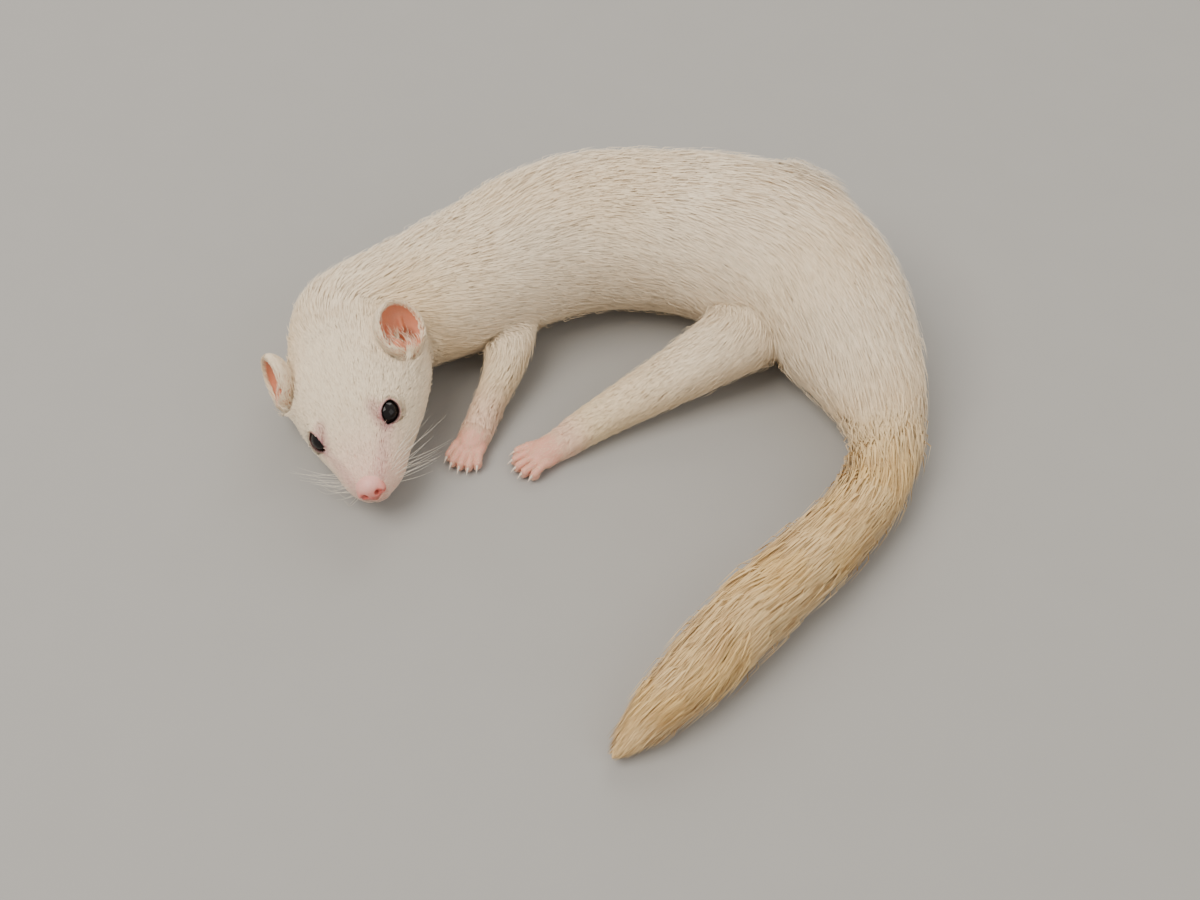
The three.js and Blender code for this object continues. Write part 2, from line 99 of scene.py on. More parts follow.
def past_oval(across, upward, wide, high):
    """About how far a point is outside an oval section, or inside it where negative."""
    oval = np.abs(across / wide) ** ROUNDNESS + np.abs(upward / high) ** ROUNDNESS
    return np.hypot(across, upward) * (1 - 1 / np.maximum(oval ** (1 / ROUNDNESS), 1e-3))


def catmull(rows, t):
    """A smooth line through rows, at t from 0 to 1."""
    rows = np.asarray(rows, float)
    rows = np.vstack([2 * rows[0] - rows[1], rows, 2 * rows[-1] - rows[-2]])
    spans = len(rows) - 3
    at = np.clip(np.asarray(t, float), 0, 1) * spans
    i = np.minimum(at.astype(int), spans - 1)
    w = (at - i)[..., None]
    p0, p1, p2, p3 = rows[i], rows[i + 1], rows[i + 2], rows[i + 3]
    slope1, slope2 = (p2 - p0) / 2, (p3 - p1) / 2
    c2 = 3 * (p2 - p1) - 2 * slope1 - slope2
    c3 = 2 * (p1 - p2) + slope1 + slope2
    return p1 + slope1 * w + c2 * w**2 + c3 * w**3


def ripple(points, size, seed):
    """Smooth noise from about -1 to 1, a sum of waves of about this size."""
    draw = np.random.default_rng(seed)
    total = np.zeros(len(points))
    for _ in range(7):
        way = unit(draw.normal(size=3)) * (2 * math.pi / (size * draw.uniform(0.7, 1.6)))
        total += np.sin(points @ way + draw.uniform(0, 2 * math.pi))
    return total / 3.2


# The body's lines. A station is x, y, z, half width, height above and height below the line.

BACK = [
    (-105, -64, 24, 10, 8, 8),
    (-105, -56, 24, 22, 17, 16),
    (-103, -46, 25, 25.5, 19.5, 23),
    (-93, -38, 26, 26, 21.5, 25.5),
    (-75, -31, 27.5, 28, 25.5, 27.5),
    (-50, -19, 29.5, 30, 29.5, 30),
    (-28, -4.4, 31, 32, 32, 31.5),
    (-4, 4, 32, 33, 33, 33),
    (19, 4.5, 32, 33, 33, 33),
    (43, 1, 33, 34, 34, 34),
    (66, -9, 34, 35.5, 36, 35),
    (86, -25, 33, 34, 34, 34),
    (99.5, -48, 29, 29.5, 29, 30),
    (110, -71, 22.5, 22, 21.5, 23),
    (114.5, -90, 17.5, 16, 15, 17.5),
    (114, -104, 15, 13.4, 12.6, 15),
    (108, -120, 13.8, 12.8, 12.2, 13.8),
    (94, -138, 13.5, 13.4, 12.6, 13.5),
    (76, -156, 13.5, 14, 13, 13.5),
    (57, -175, 13, 14.2, 12.5, 13),
    (38, -196, 12, 13, 11.5, 12),
    (20, -215, 9.5, 9, 8, 9.5),
    (9, -225.5, 6.5, 5, 4, 6.5),
    (3, -230, 4.5, 1, 1, 1),
]
TAIL_START = 13.4  # station
CORE_SHARE = 0.62  # of the tail's size, where the skin lies
LEGS = {
    "foreleg_left": [
        (-36, -26, 25, 12, 12, 12),
        (-37, -44, 17, 10.5, 10, 10),
        (-41, -60, 11.5, 8, 7.6, 8),
        (-47, -76, 8, 6.6, 6, 6.5),
        (-51, -86, 6, 6.4, 5, 5.5),
    ],
    "foreleg_right": [
        (-66, -6, 22, 12, 11, 12),
        (-76, 5, 14, 10.5, 9, 11),
        (-89, 1, 9, 8, 7.6, 8),
        (-101, -10, 7.5, 6.6, 6, 6.5),
        (-107, -18, 6, 6.4, 5, 5.5),
    ],
    "hindleg_left": [
        (82, -30, 28, 18, 17, 18),
        (67, -42, 25, 17, 16, 18),
        (50, -53, 21, 14.5, 13, 14),
        (30, -64, 15.5, 11.6, 10.5, 12),
        (10, -75, 11, 9.2, 8.6, 10),
        (-5, -84, 8, 8, 7, 8),
        (-15, -91, 6, 7.4, 5.4, 6),
    ],
    "hindleg_right": [
        (86, -8, 26, 18, 15, 20),
        (82, 12, 21, 17, 15, 18),
        (74, 26, 14, 14, 12, 13),
        (62, 33, 9, 9, 8.5, 8.5),
        (48, 37, 7, 8, 6.5, 7),
        (36, 38, 6, 7.4, 5.4, 6),
    ],
}
# Sizes of a paw, depth of the coat at the top of its leg, and how far up the leg it is pink
FORE = {"palm": 12, "width": 13, "toe": 10, "shoulder": 3.4, "wrist": 26}
HIND = {"palm": 17, "width": 13.5, "toe": 12, "shoulder": 3.8, "wrist": 12}
PAWS = {
    # place, heading in degrees, sizes
    "forepaw_left": ((-49.5, -83, 0.4), 249, FORE),
    "forepaw_right": ((-104, -15, 0.4), 228, FORE),
    "hindpaw_left": ((-12, -89, 0.4), 211, HIND),
    "hindpaw_right": ((40, 37.8, 0.4), 178, HIND),
}


class Line:
    """A smooth line of oval sections, sampled along its length."""

    def __init__(self, stations, steps):
        self.t = np.linspace(0, 1, steps)
        rows = catmull(stations, self.t)
        self.station = self.t * (len(stations) - 1)
        self.at, self.size = rows[:, :3], rows[:, 3:]
        self.ahead = unit(np.gradient(self.at, axis=0))
        self.left = unit(np.cross((0, 0, 1), self.ahead))
        self.top = np.cross(self.ahead, self.left)
        self.reach = np.zeros(steps)
        self.reach[1:] = np.cumsum(np.linalg.norm(np.diff(self.at, axis=0), axis=1))

    def inset(self, share, depth):
        """The line with its sections made smaller by a share and then by a depth."""
        self.size = np.maximum(self.size * share[:, None] - depth[:, None], 0.4)
        return self

    def stretch(self, keep):
        """Some of the samples as a line of their own."""
        part = Line.__new__(Line)
        for name, values in vars(self).items():
            setattr(part, name, values[keep])
        return part

    def locate(self, points):
        """For each point the nearest sample, its angle round the section and how far outside it is."""
        index = np.empty(len(points), int)
        for start in range(0, len(points), BLOCK):
            some = slice(start, start + BLOCK)
            far = ((points[some, None, :] - self.at[None]) ** 2).sum(-1)
            index[some] = far.argmin(1)
        offset = points - self.at[index]
        ways = (self.left, self.top, self.ahead)
        across, upward, along = (np.einsum("ij,ij->i", offset, way[index]) for way in ways)
        size = self.size[index]
        high = np.where(upward > 0, size[:, 1], size[:, 2])
        signed = past_oval(across, upward, size[:, 0], high)
        ends = (index == 0) | (index == len(self.t) - 1)
        signed = np.where(ends, np.hypot(np.maximum(signed, 0), along) + np.minimum(signed, 0), signed)
        return index, np.arctan2(upward / high, across / size[:, 0]), signed

    def skin(self, sides):
        """Vertices and faces of the closed skin over the sections."""
        angle = np.linspace(0, 2 * math.pi, sides, endpoint=False)
        cos, sin = np.cos(angle), np.sin(angle)
        power = 2 / ROUNDNESS
        across = np.sign(cos) * np.abs(cos) ** power
        upward = np.sign(sin) * np.abs(sin) ** power
        high = np.where(sin > 0, self.size[:, 1:2], self.size[:, 2:3])
        rings = (
            self.at[:, None]
            + (self.size[:, 0:1] * across)[..., None] * self.left[:, None]
            + (high * upward)[..., None] * self.top[:, None]
        )
        points = np.vstack([rings.reshape(-1, 3), self.at[:1], self.at[-1:]])
        first = len(self.t) * sides
        top = first - sides
        caps = [(first, (i + 1) % sides, i) for i in range(sides)]
        caps += [(first + 1, top + i, top + (i + 1) % sides) for i in range(sides)]
        return points, band(len(self.t), sides) + caps


def band(rings, sides):
    """Faces between rings of points."""
    start, k = np.arange(rings - 1)[:, None] * sides, np.arange(sides)
    a, b = (start + k).ravel(), (start + (k + 1) % sides).ravel()
    return list(map(tuple, np.stack([a, b, b + sides, a + sides], 1)))


def back_line():
    line = Line(BACK, 460)
    share = 1 - (1 - CORE_SHARE) * smoothstep(line.station, TAIL_START, 15)
    depth = np.interp(line.station, [0, 3, 6, 12, TAIL_START, 15], [2.4, 2.8, 3.6, 4, 3.6, 0])
    return line.inset(share, depth)


def paw_of(leg):
    return leg.replace("leg", "paw")


def leg_depth(name, t):
    """The depth of a leg's coat along it."""
    shoulder = PAWS[paw_of(name)][2]["shoulder"]
    return np.interp(t, [0, 0.35, 0.8, 1], [shoulder, 2.6, 1.2, 0.5])


def leg_line(name):
    line = Line(LEGS[name], 120)
    return line.inset(np.ones(120), leg_depth(name, line.t))


# Clay: signed distances on a grid, in a frame of its own

class Clay:
    def __init__(self, low, high, step):
        self.low, self.step = np.array(low, float), step
        self.counts = np.ceil((np.array(high, float) - self.low) / step).astype(int) + 1
        self.field = np.full(self.counts, EMPTY, np.float32)

    def part(self, low, high):
        """The slice of the grid in a box, and the places of its points."""
        first = np.clip(np.floor((np.array(low) - self.low) / self.step).astype(int), 0, self.counts)
        last = np.clip(np.ceil((np.array(high) - self.low) / self.step).astype(int) + 1, 0, self.counts)
        index = tuple(slice(a, b) for a, b in zip(first, last))
        axes = [self.low[i] + self.step * np.arange(first[i], last[i]) for i in range(3)]
        grid = np.stack(np.meshgrid(*axes, indexing="ij"), -1).astype(np.float32)
        return index, grid

    def add(self, shape, soft, low=(-99,) * 3, high=(99,) * 3):
        index, grid = self.part(low, high)
        self.field[index] = blend_min(self.field[index], shape(grid), soft)

    def cut(self, shape, soft, low=(-99,) * 3, high=(99,) * 3):
        index, grid = self.part(low, high)
        self.field[index] = -blend_min(-self.field[index], shape(grid), soft)

    def close(self):
        """Shuts the block's sides, so that the surface is closed."""
        for axis in range(3):
            for side in (0, -1):
                face = [slice(None)] * 3
                face[axis] = side
                self.field[tuple(face)] = np.maximum(self.field[tuple(face)], self.step)

    def surface(self):
        """Vertices and quads where the distance is zero."""
        self.close()
        f = self.field
        cells = np.array(f.shape) - 1
        places, owners, quads = [], [], []
        for axis in range(3):
            b, c = (axis + 1) % 3, (axis + 2) % 3
            f0, f1 = f.take(range(cells[axis]), axis), f.take(range(1, cells[axis] + 1), axis)
            edge = np.argwhere((f0 < 0) != (f1 < 0))
            inside = (edge > 0) & (edge < cells)
            edge = edge[inside[:, b] & inside[:, c]]
            v0, v1 = f0[tuple(edge.T)], f1[tuple(edge.T)]
            place = edge.astype(float)
            place[:, axis] += v0 / (v0 - v1)
            ring = []
            for db, dc in ((-1, -1), (0, -1), (0, 0), (-1, 0)):
                cell = edge.copy()
                cell[:, b] += db
                cell[:, c] += dc
                flat = np.ravel_multi_index(tuple(cell.T), tuple(cells))
                ring.append(flat)
                owners.append(flat)
                places.append(place)
            ring = np.stack(ring, 1)
            ring[v0 >= 0] = ring[v0 >= 0][:, ::-1]
            quads.append(ring)
        owners = np.concatenate(owners)
        places = np.concatenate(places)
        used, slot = np.unique(owners, return_inverse=True)
        count = np.bincount(slot)
        points = np.stack([np.bincount(slot, places[:, i]) / count for i in range(3)], 1)
        quads = np.searchsorted(used, np.concatenate(quads))
        return self.low + self.step * points, quads


def blend_min(a, b, soft):
    """The smaller of two distances, rounded where they meet."""
    if soft <= 0:
        return np.minimum(a, b)
    h = np.clip(0.5 + 0.5 * (b - a) / soft, 0, 1)
    return b * (1 - h) + a * h - soft * h * (1 - h)


def ellipsoid(at, radii, turn=None):
    """A distance to an ellipsoid. turn holds its axes as columns."""
    at, radii = np.array(at, np.float32), np.array(radii, np.float32)

    def distance(p):
        q = p - at
        if turn is not None:
            q = q @ np.array(turn, np.float32)
        k0 = np.linalg.norm(q / radii, axis=-1)
        k1 = np.linalg.norm(q / radii**2, axis=-1)
        return k0 * (k0 - 1) / np.maximum(k1, 1e-6)

    return distance


def capsule(a, b, ra, rb=None):
    """A distance to a rod with round ends, thicker at one end if rb is given."""
    a, b = np.array(a, np.float32), np.array(b, np.float32)
    rb = ra if rb is None else rb

    def distance(p):
        h = np.clip(((p - a) @ (b - a)) / ((b - a) @ (b - a)), 0, 1)
        return np.linalg.norm(p - a - h[..., None] * (b - a), axis=-1) - (ra + (rb - ra) * h)

    return distance


def around(at, reach):
    at = np.array(at, float)
    return at - reach, at + reach


def turned(x=0, y=0, z=0):
    """Columns of the axes after turns about x, then y, then z, in degrees."""
    turns = [Matrix.Rotation(math.radians(v), 3, k) for v, k in ((z, "Z"), (y, "Y"), (x, "X"))]
    return np.array(turns[0] @ turns[1] @ turns[2])


# The head, in its own frame: x towards the nose, y to the left, z to the crown

HEAD_AT = np.array((-101, -54, 21.0))
HEAD_AHEAD = unit((0.145, -0.985, 0.06))
HEAD_TOP = unit(np.cross(HEAD_AHEAD, (0.905, 0.18, 0.385)))
HEAD_LEFT = np.cross(HEAD_TOP, HEAD_AHEAD)
HEAD = np.stack([HEAD_AHEAD, HEAD_LEFT, HEAD_TOP])  # rows are the head's axes

SKULL = [
    # x, z, half width, up, down
    (-20, 0, 10, 9, 8),
    (-14, 0, 20, 16, 14),
    (-4, -0.5, 27.5, 20.5, 19),
    (9, -1.5, 31, 22.5, 20),
    (22, -2.5, 30.5, 22.5, 19),
    (34, -3.5, 27, 21, 17.5),
    (44, -4.5, 22.5, 18.5, 15.5),
    (53, -6, 17.5, 14.3, 13.2),
    (61, -7.2, 13.2, 10.6, 11),
    (67.5, -8, 9.6, 8.2, 8.6),
    (71.3, -8.6, 6.6, 6, 6.6),
    (73, -8.8, 3.6, 3, 3.6),
]
FACE_DEPTH = ([-20, 0, 20, 40, 55, 66, 73], [3.4, 3, 2.4, 1.6, 1, 0.5, 0.3])
EYE_AT = (48.6, 16.6, 5.7)
EYE_LOOK = (0.6, 0.63, 0.42)
EYE_LENGTHWISE = (1, -0.27, -0.38)
EAR_AT = (17, 28, 15.2)
EAR_OPEN = (0.4, 0.8, 0.4)
EAR_TIP = (-0.5, 0.12, 0.85)
MOUTH_X = [48, 51, 57, 64, 71, 77]
MOUTH_Z = [-12.2, -13.4, -15.6, -15.6, -13.6, -13.2]


def to_world(points):
    return np.asarray(points) @ HEAD + HEAD_AT


def to_head(points):
    return (np.asarray(points) - HEAD_AT) @ HEAD.T


def mirrored(row, side):
    return np.array(row, float) * (1, side, 1)


def eye_frame(side):
    """The eye's middle and the ways along the lids, across them and out, in the head's frame."""
    look = unit(mirrored(EYE_LOOK, side))
    tall = unit(np.cross(look, mirrored(EYE_LENGTHWISE, side)))
    long = np.cross(tall, look)
    return mirrored(EYE_AT, side) - look * EYE_DEPTH, long, tall, look


def ear_frame(side):
    """The ear's middle and the ways out of its cup, across it and to its tip."""
    out = unit(mirrored(EAR_OPEN, side))
    across = unit(np.cross(mirrored(EAR_TIP, side), out))
    return mirrored(EAR_AT, side), out, across, np.cross(out, across)


def skull_shape():
    t = np.linspace(0, 1, 240)
    rows = catmull(SKULL, t)
    x = rows[:, 0]
    depth = np.interp(x, *FACE_DEPTH)

    def distance(p):
        mid, wide, up, down = (np.interp(p[..., 0], x, rows[:, i]) for i in range(1, 5))
        inset = np.interp(p[..., 0], x, depth)
        up_way = p[..., 2] - mid
        high = np.maximum(np.where(up_way > 0, up, down) - inset, 0.5)
        wide = np.maximum(wide - inset, 0.5)
        radial = past_oval(p[..., 1], up_way, wide, high)
        beyond = np.maximum(np.maximum(x[0] - p[..., 0], p[..., 0] - x[-1]), 0)
        return np.hypot(np.maximum(radial, 0), beyond) + np.minimum(radial, 0)

    return distance


def neck_shape(back):
    """The start of the back, a little slimmer than the body's own skin."""
    neck = back.stretch(slice(0, 110, 2))

    def distance(p):
        world = to_world(p.reshape(-1, 3).astype(float))
        return neck.locate(world)[2].reshape(p.shape[:-1]) + 0.5

    return distance


def lid_opening(side):
    """An almond prism from the eye's middle outwards, the space between two circles."""
    centre, long, tall, look = eye_frame(side)
    a, b = LID_OPENING[0] / 2, LID_OPENING[1] / 2
    radius = (a * a + b * b) / (2 * b)

    def distance(p):
        q = p - centre.astype(np.float32)
        u, v, w = q @ long, q @ tall, q @ look
        almond = np.maximum(np.hypot(u, v + radius - b), np.hypot(u, v - radius + b)) - radius
        return np.maximum(almond, -w)

    return distance


def lid_fold(side, rise):
    """A shallow crease on the upper or the lower lid, from one corner of the eye to the other."""
    centre, long, tall, look = eye_frame(side)
    a, b = LID_OPENING[0] / 2 * 1.15, LID_OPENING[1] / 2 * 1.7
    shell = EYE_RADIUS + LID_THICKNESS

    def distance(p):
        q = p - centre.astype(np.float32)
        u, v, w = q @ long, q @ (tall * rise), q @ look
        arc = v - b * (1 - (u / a) ** 2)
        far = np.linalg.norm(q, axis=-1) - shell
        crease = np.hypot(arc, far - 0.1) - 0.06
        return np.maximum(crease, np.maximum(np.abs(u) - a, -w))

    return distance


def tear_notch(side):
    """The notch at the eye's inner corner."""
    centre, long, _, look = eye_frame(side)
    tear = centre + long * LID_OPENING[0] * 0.51 + look * EYE_RADIUS * 0.62
    return capsule(tear, tear + long * 1.3 + look * 0.8, 0.55, 0.25)


def add_eye(clay, side):
    centre = eye_frame(side)[0]
    box = around(centre, 13)
    clay.add(ellipsoid(centre, (EYE_RADIUS + LID_THICKNESS,) * 3), 1.6, *box)
    for rise in (1, -1):
        clay.cut(lid_fold(side, rise), 1.3, *box)
    clay.cut(ellipsoid(centre, (EYE_RADIUS + 0.12,) * 3), 0.15, *box)
    clay.cut(lid_opening(side), 0.5, *box)
    clay.cut(tear_notch(side), 0.6, *box)


def add_ear(clay, side):
    centre, out, across, tip = ear_frame(side)
    axes = np.stack([out, across, tip], 1)
    box = around(centre, 16)

    def place(o, a, t):
        return centre + out * o + across * a * side + tip * t

    clay.add(ellipsoid(centre, EAR_SHELL, axes), 3, *box)
    clay.cut(ellipsoid(place(HOLLOW_OUT, 0, 0.2), EAR_HOLLOW, axes), 0.9, *box)
    folds = [
        # start, end, thickness at each: soft ridges that run up the inside of the cup
        ((-2.4, -4, -5), (-1.6, -3.4, 3), 1.5, 0.5),
        ((-2.8, 1.6, -5.5), (-2.2, 4, 3.5), 1.3, 0.5),
    ]
    for a, b, ra, rb in folds:
        clay.add(capsule(place(*a), place(*b), ra, rb), 2.6, *box)
    flap = place(1.4, -5.4, -5.6)
    clay.add(ellipsoid(flap, (1.6, 2.4, 3), axes), 1.6, *around(flap, 6))
    base = mirrored((29, 23.5, 3), side)
    clay.add(capsule(place(-1.5, 1, -8), base, 3, 0.8), 4, *box)
    canal = place(-2.6, -1, -4.6)
    clay.cut(ellipsoid(canal, (2.2, 1.5, 2.1), axes), 1, *around(canal, 5))
    pocket = place(1.6, 7.6, -3.6)
    clay.cut(ellipsoid(pocket, (1.2, 0.55, 2.2), axes), 0.5, *around(pocket, 5))


def add_muzzle(clay):
    for side in (1, -1):
        pad = mirrored((59.6, 6.6, -9.6), side)
        shape = ellipsoid(pad, (10, 6, 5.8), turned(0, 8, -14 * side))
        clay.add(shape, 2.5, *around(pad, 16))
    chin = (55.5, 0, -15.6)
    clay.add(ellipsoid(chin, (11, 6.6, 4.2), turned(y=6)), 2, *around(chin, 16))
    skull = skull_shape()

    def mouth(p):
        # a groove along the line of the mouth, deepest under the lip
        line = np.interp(p[..., 0], MOUTH_X, MOUTH_Z)
        gap = np.abs(p[..., 2] - line) - 0.4
        back = MOUTH_X[0] - p[..., 0]
        return np.maximum(np.maximum(gap, back), -(skull(p) + 2.4))

    clay.cut(mouth, 0.9, (46, -16, -20), (79, 16, -9))
    parting = capsule((73.6, 0, -9.4), (72.8, 0, -14), 0.45, 0.3)
    clay.cut(parting, 0.8, (68, -4, -18), (79, 4, -6))
    seat = ellipsoid((73.6, 0, -6), (3.4, 5.2, 4.2))
    clay.cut(seat, 0.8, (66, -9, -14), (79, 9, 3))


def head_clay(back):
    clay = Clay((-46, -42, -27), (78, 42, 36), 0.5)
    clay.add(skull_shape(), 0)
    clay.add(neck_shape(back), 7, (-46, -42, -27), (10, 42, 36))
    add_muzzle(clay)
    for side in (1, -1):
        add_ear(clay, side)
        add_eye(clay, side)
    points, quads = clay.surface()
    return to_world(points), quads


# The nose pad, and the paws

def nose_clay():
    clay = Clay((60, -9, -14), (80, 9, 3), 0.22)
    clay.add(ellipsoid((70.2, 0, -5.4), (5, 5.7, 4.4)), 0)
    clay.add(ellipsoid((72, 0, -7.6), (3.2, 3.6, 2.6)), 1.6)
    for side in (1, -1):
        wing = mirrored((71.6, 3.7, -6.8), side)
        clay.add(ellipsoid(wing, (2.9, 2.1, 2.5), turned(z=22 * side)), 1.1)
        hole = mirrored((75.2, 2.7, -6.3), side)
        clay.cut(ellipsoid(hole, (3, 1, 1.25), turned(-20 * side, 0, 26 * side)), 0.5)
        slit = capsule(mirrored((74.6, 3.6, -6.6), side), mirrored((72.6, 5.9, -8), side), 0.7, 0.35)
        clay.cut(slit, 0.5)
    clay.cut(capsule((76, 0, -4.6), (75, 0, -10.4), 0.3), 0.7)
    points, quads = clay.surface()
    return to_world(points), quads


TOE_REACH = (0.74, 0.95, 1, 0.95, 0.74)
TOE_FAN = 6.5  # degrees from one toe to the next
PAW_TURNS = {name: turned(z=heading) for name, (_, heading, _) in PAWS.items()}


def toes(name):
    """Root, heading and length of each toe in the paw's frame."""
    size = PAWS[name][2]
    for i, reach in enumerate(TOE_REACH):
        place = i - 2
        fan = math.radians(place * TOE_FAN)
        root = np.array((size["palm"] * 0.7, (place / 2) * (size["width"] / 2 - 1.9), 0))
        yield root, np.array((math.cos(fan), math.sin(fan), 0)), size["toe"] * reach


def paw_world(name, points):
    return np.asarray(points) @ PAW_TURNS[name].T + PAWS[name][0]


def paw_frame(name, points):
    """Places in a paw's own frame."""
    return (points - PAWS[name][0]) @ PAW_TURNS[name]


def paw_clay(name):
    size = PAWS[name][2]
    clay = Clay((-9, -12, -0.4), (34, 12, 12), 0.4)
    palm, width = size["palm"], size["width"]
    clay.add(ellipsoid((palm * 0.42, 0, 4.5), (palm * 0.7, width / 2 - 0.3, 4.8)), 0)
    clay.add(ellipsoid((palm * 0.66, 0, 3.2), (4.5, width / 2 - 0.6, 3)), 1.5)
    clay.add(capsule((-8, 0, 5.4), (3, 0, 5), 5, 4.8), 3)
    clay.add(ellipsoid((palm * 0.8, 0, 2), (4.4, width / 2 - 0.5, 2.2)), 0.8)
    for root, way, length in toes(name):
        knee = root + way * length * 0.5 + (0, 0, 4.8)
        end = root + way * (length + 0.2) + (0, 0, 3.4)
        clay.add(capsule(root + (0, 0, 3.8), knee, 2.1, 1.6), 0.9)
        clay.add(capsule(knee, end, 1.5, 1.65), 0.3)
        pad = root + way * (length + 0.2) + (0, 0, 1.9)
        clay.add(ellipsoid(pad, (2.3, 1.55, 1.7)), 0.4)
    height = clay.low[2] + clay.step * np.arange(clay.counts[2])
    clay.field = np.maximum(clay.field, -height)  # so that the pads lie flat
    points, quads = clay.surface()
    return paw_world(name, points), quads


# Meshes

def linked(name, data):
    made = bpy.data.objects.new(name, data)
    bpy.context.scene.collection.objects.link(made)
    return made


def new_mesh(name, points, faces):
    mesh = bpy.data.meshes.new(name)
    mesh.from_pydata(np.asarray(points) * MM, [], [tuple(map(int, f)) for f in faces])
    mesh.update()
    return linked(name, mesh)


def gathered(name, shells):
    """One mesh of many closed shells."""
    points, faces, start = [], [], 0
    for own, own_faces in shells:
        points.append(own)
        faces += [tuple(start + k for k in face) for face in own_faces]
        start += len(own)
    return new_mesh(name, np.vstack(points), faces)


def read(rows, name, kind=np.float32, columns=3):
    """A table of numbers from a mesh."""
    values = np.empty(len(rows) * columns, kind)
    rows.foreach_get(name, values)
    return values.reshape(-1, columns)


def corners_of(mesh):
    return read(mesh.vertices, "co").astype(float) / MM


def apply(piece, kind, **settings):
    modifier = piece.modifiers.new(kind.lower(), kind)
    for key, value in settings.items():
        setattr(modifier, key, value)
    graph = bpy.context.evaluated_depsgraph_get()
    mesh = bpy.data.meshes.new_from_object(piece.evaluated_get(graph))
    piece.modifiers.clear()
    old = piece.data
    piece.data = mesh
    bpy.data.meshes.remove(old)


def make_skin(back, legs):
    """The body, the head and the paws in one closed skin."""
    skin = gathered("skin", [back.skin(96), *(leg.skin(56) for leg in legs.values())])
    apply(skin, "REMESH", mode="VOXEL", voxel_size=VOXEL * MM)
    apply(skin, "SMOOTH", factor=0.5, iterations=22)
    apply(skin, "TRIANGULATE")
    for clay in (head_clay(back), *map(paw_clay, PAWS)):
        piece = new_mesh("clay", *clay)
        apply(piece, "TRIANGULATE")
        apply(piece, "SMOOTH", factor=0.5, iterations=2)
        apply(skin, "BOOLEAN", operation="UNION", object=piece, solver="MANIFOLD")
        bpy.data.objects.remove(piece)
    points = corners_of(skin.data)
    points[:, 2] = np.maximum(points[:, 2], FLOOR)
    skin.data.vertices.foreach_set("co", (points * MM).astype(np.float32).ravel())
    return skin


# What grows on the skin: where each point belongs, which way its coat lies and how long it is

HEAD_LENGTH = ([-24, 0, 25, 42, 56, 66, 74], [8, 7, 5, 3.6, 2.6, 1.7, 1.1])
TRUNK_LENGTH = ([0, 4, 7, 12, TAIL_START], [8, 9, 10.5, 12, 13])
LEG_LENGTH = ([0, 0.35, 0.8, 1], [11, 8, 4.5, 2.6])
TAIL_LENGTH = 22
TRUNK_DEPTH = ([0, 3, 6, 12, TAIL_START], [2.4, 2.8, 3.6, 4, 3.8])
DOWNHILL = np.array((0, 0, -0.3))  # how much the coat hangs
PAW_LENGTH, PAW_DEPTH = 1.5, 0.25
LENGTH_ROUNDS, FLOW_ROUNDS, DENSITY_ROUNDS = 24, 36, 16  # of smoothing over the mesh


def nearest_part(local, ear, trunk_far, station, legs_found, paws):
    """0 for the head, 1 for the trunk, 2 for the tail and from 3 on the legs."""
    distances = [np.where(ear > 0, -99, skull_shape()(local)), trunk_far]
    for found, paw, (_, _, size) in zip(legs_found, paws, PAWS.values()):
        reach = size["palm"] + size["toe"] - 3
        foot = capsule((0, 0, 3.5), (reach, 0, 2.5), size["width"] / 2)
        distances.append(np.minimum(found[2], foot(paw)))
    nearest = np.argmin(distances, 0)
    tail = (nearest == 1) & (station > TAIL_START)
    return np.where(nearest >= 2, nearest + 1, np.where(tail, 2, nearest))


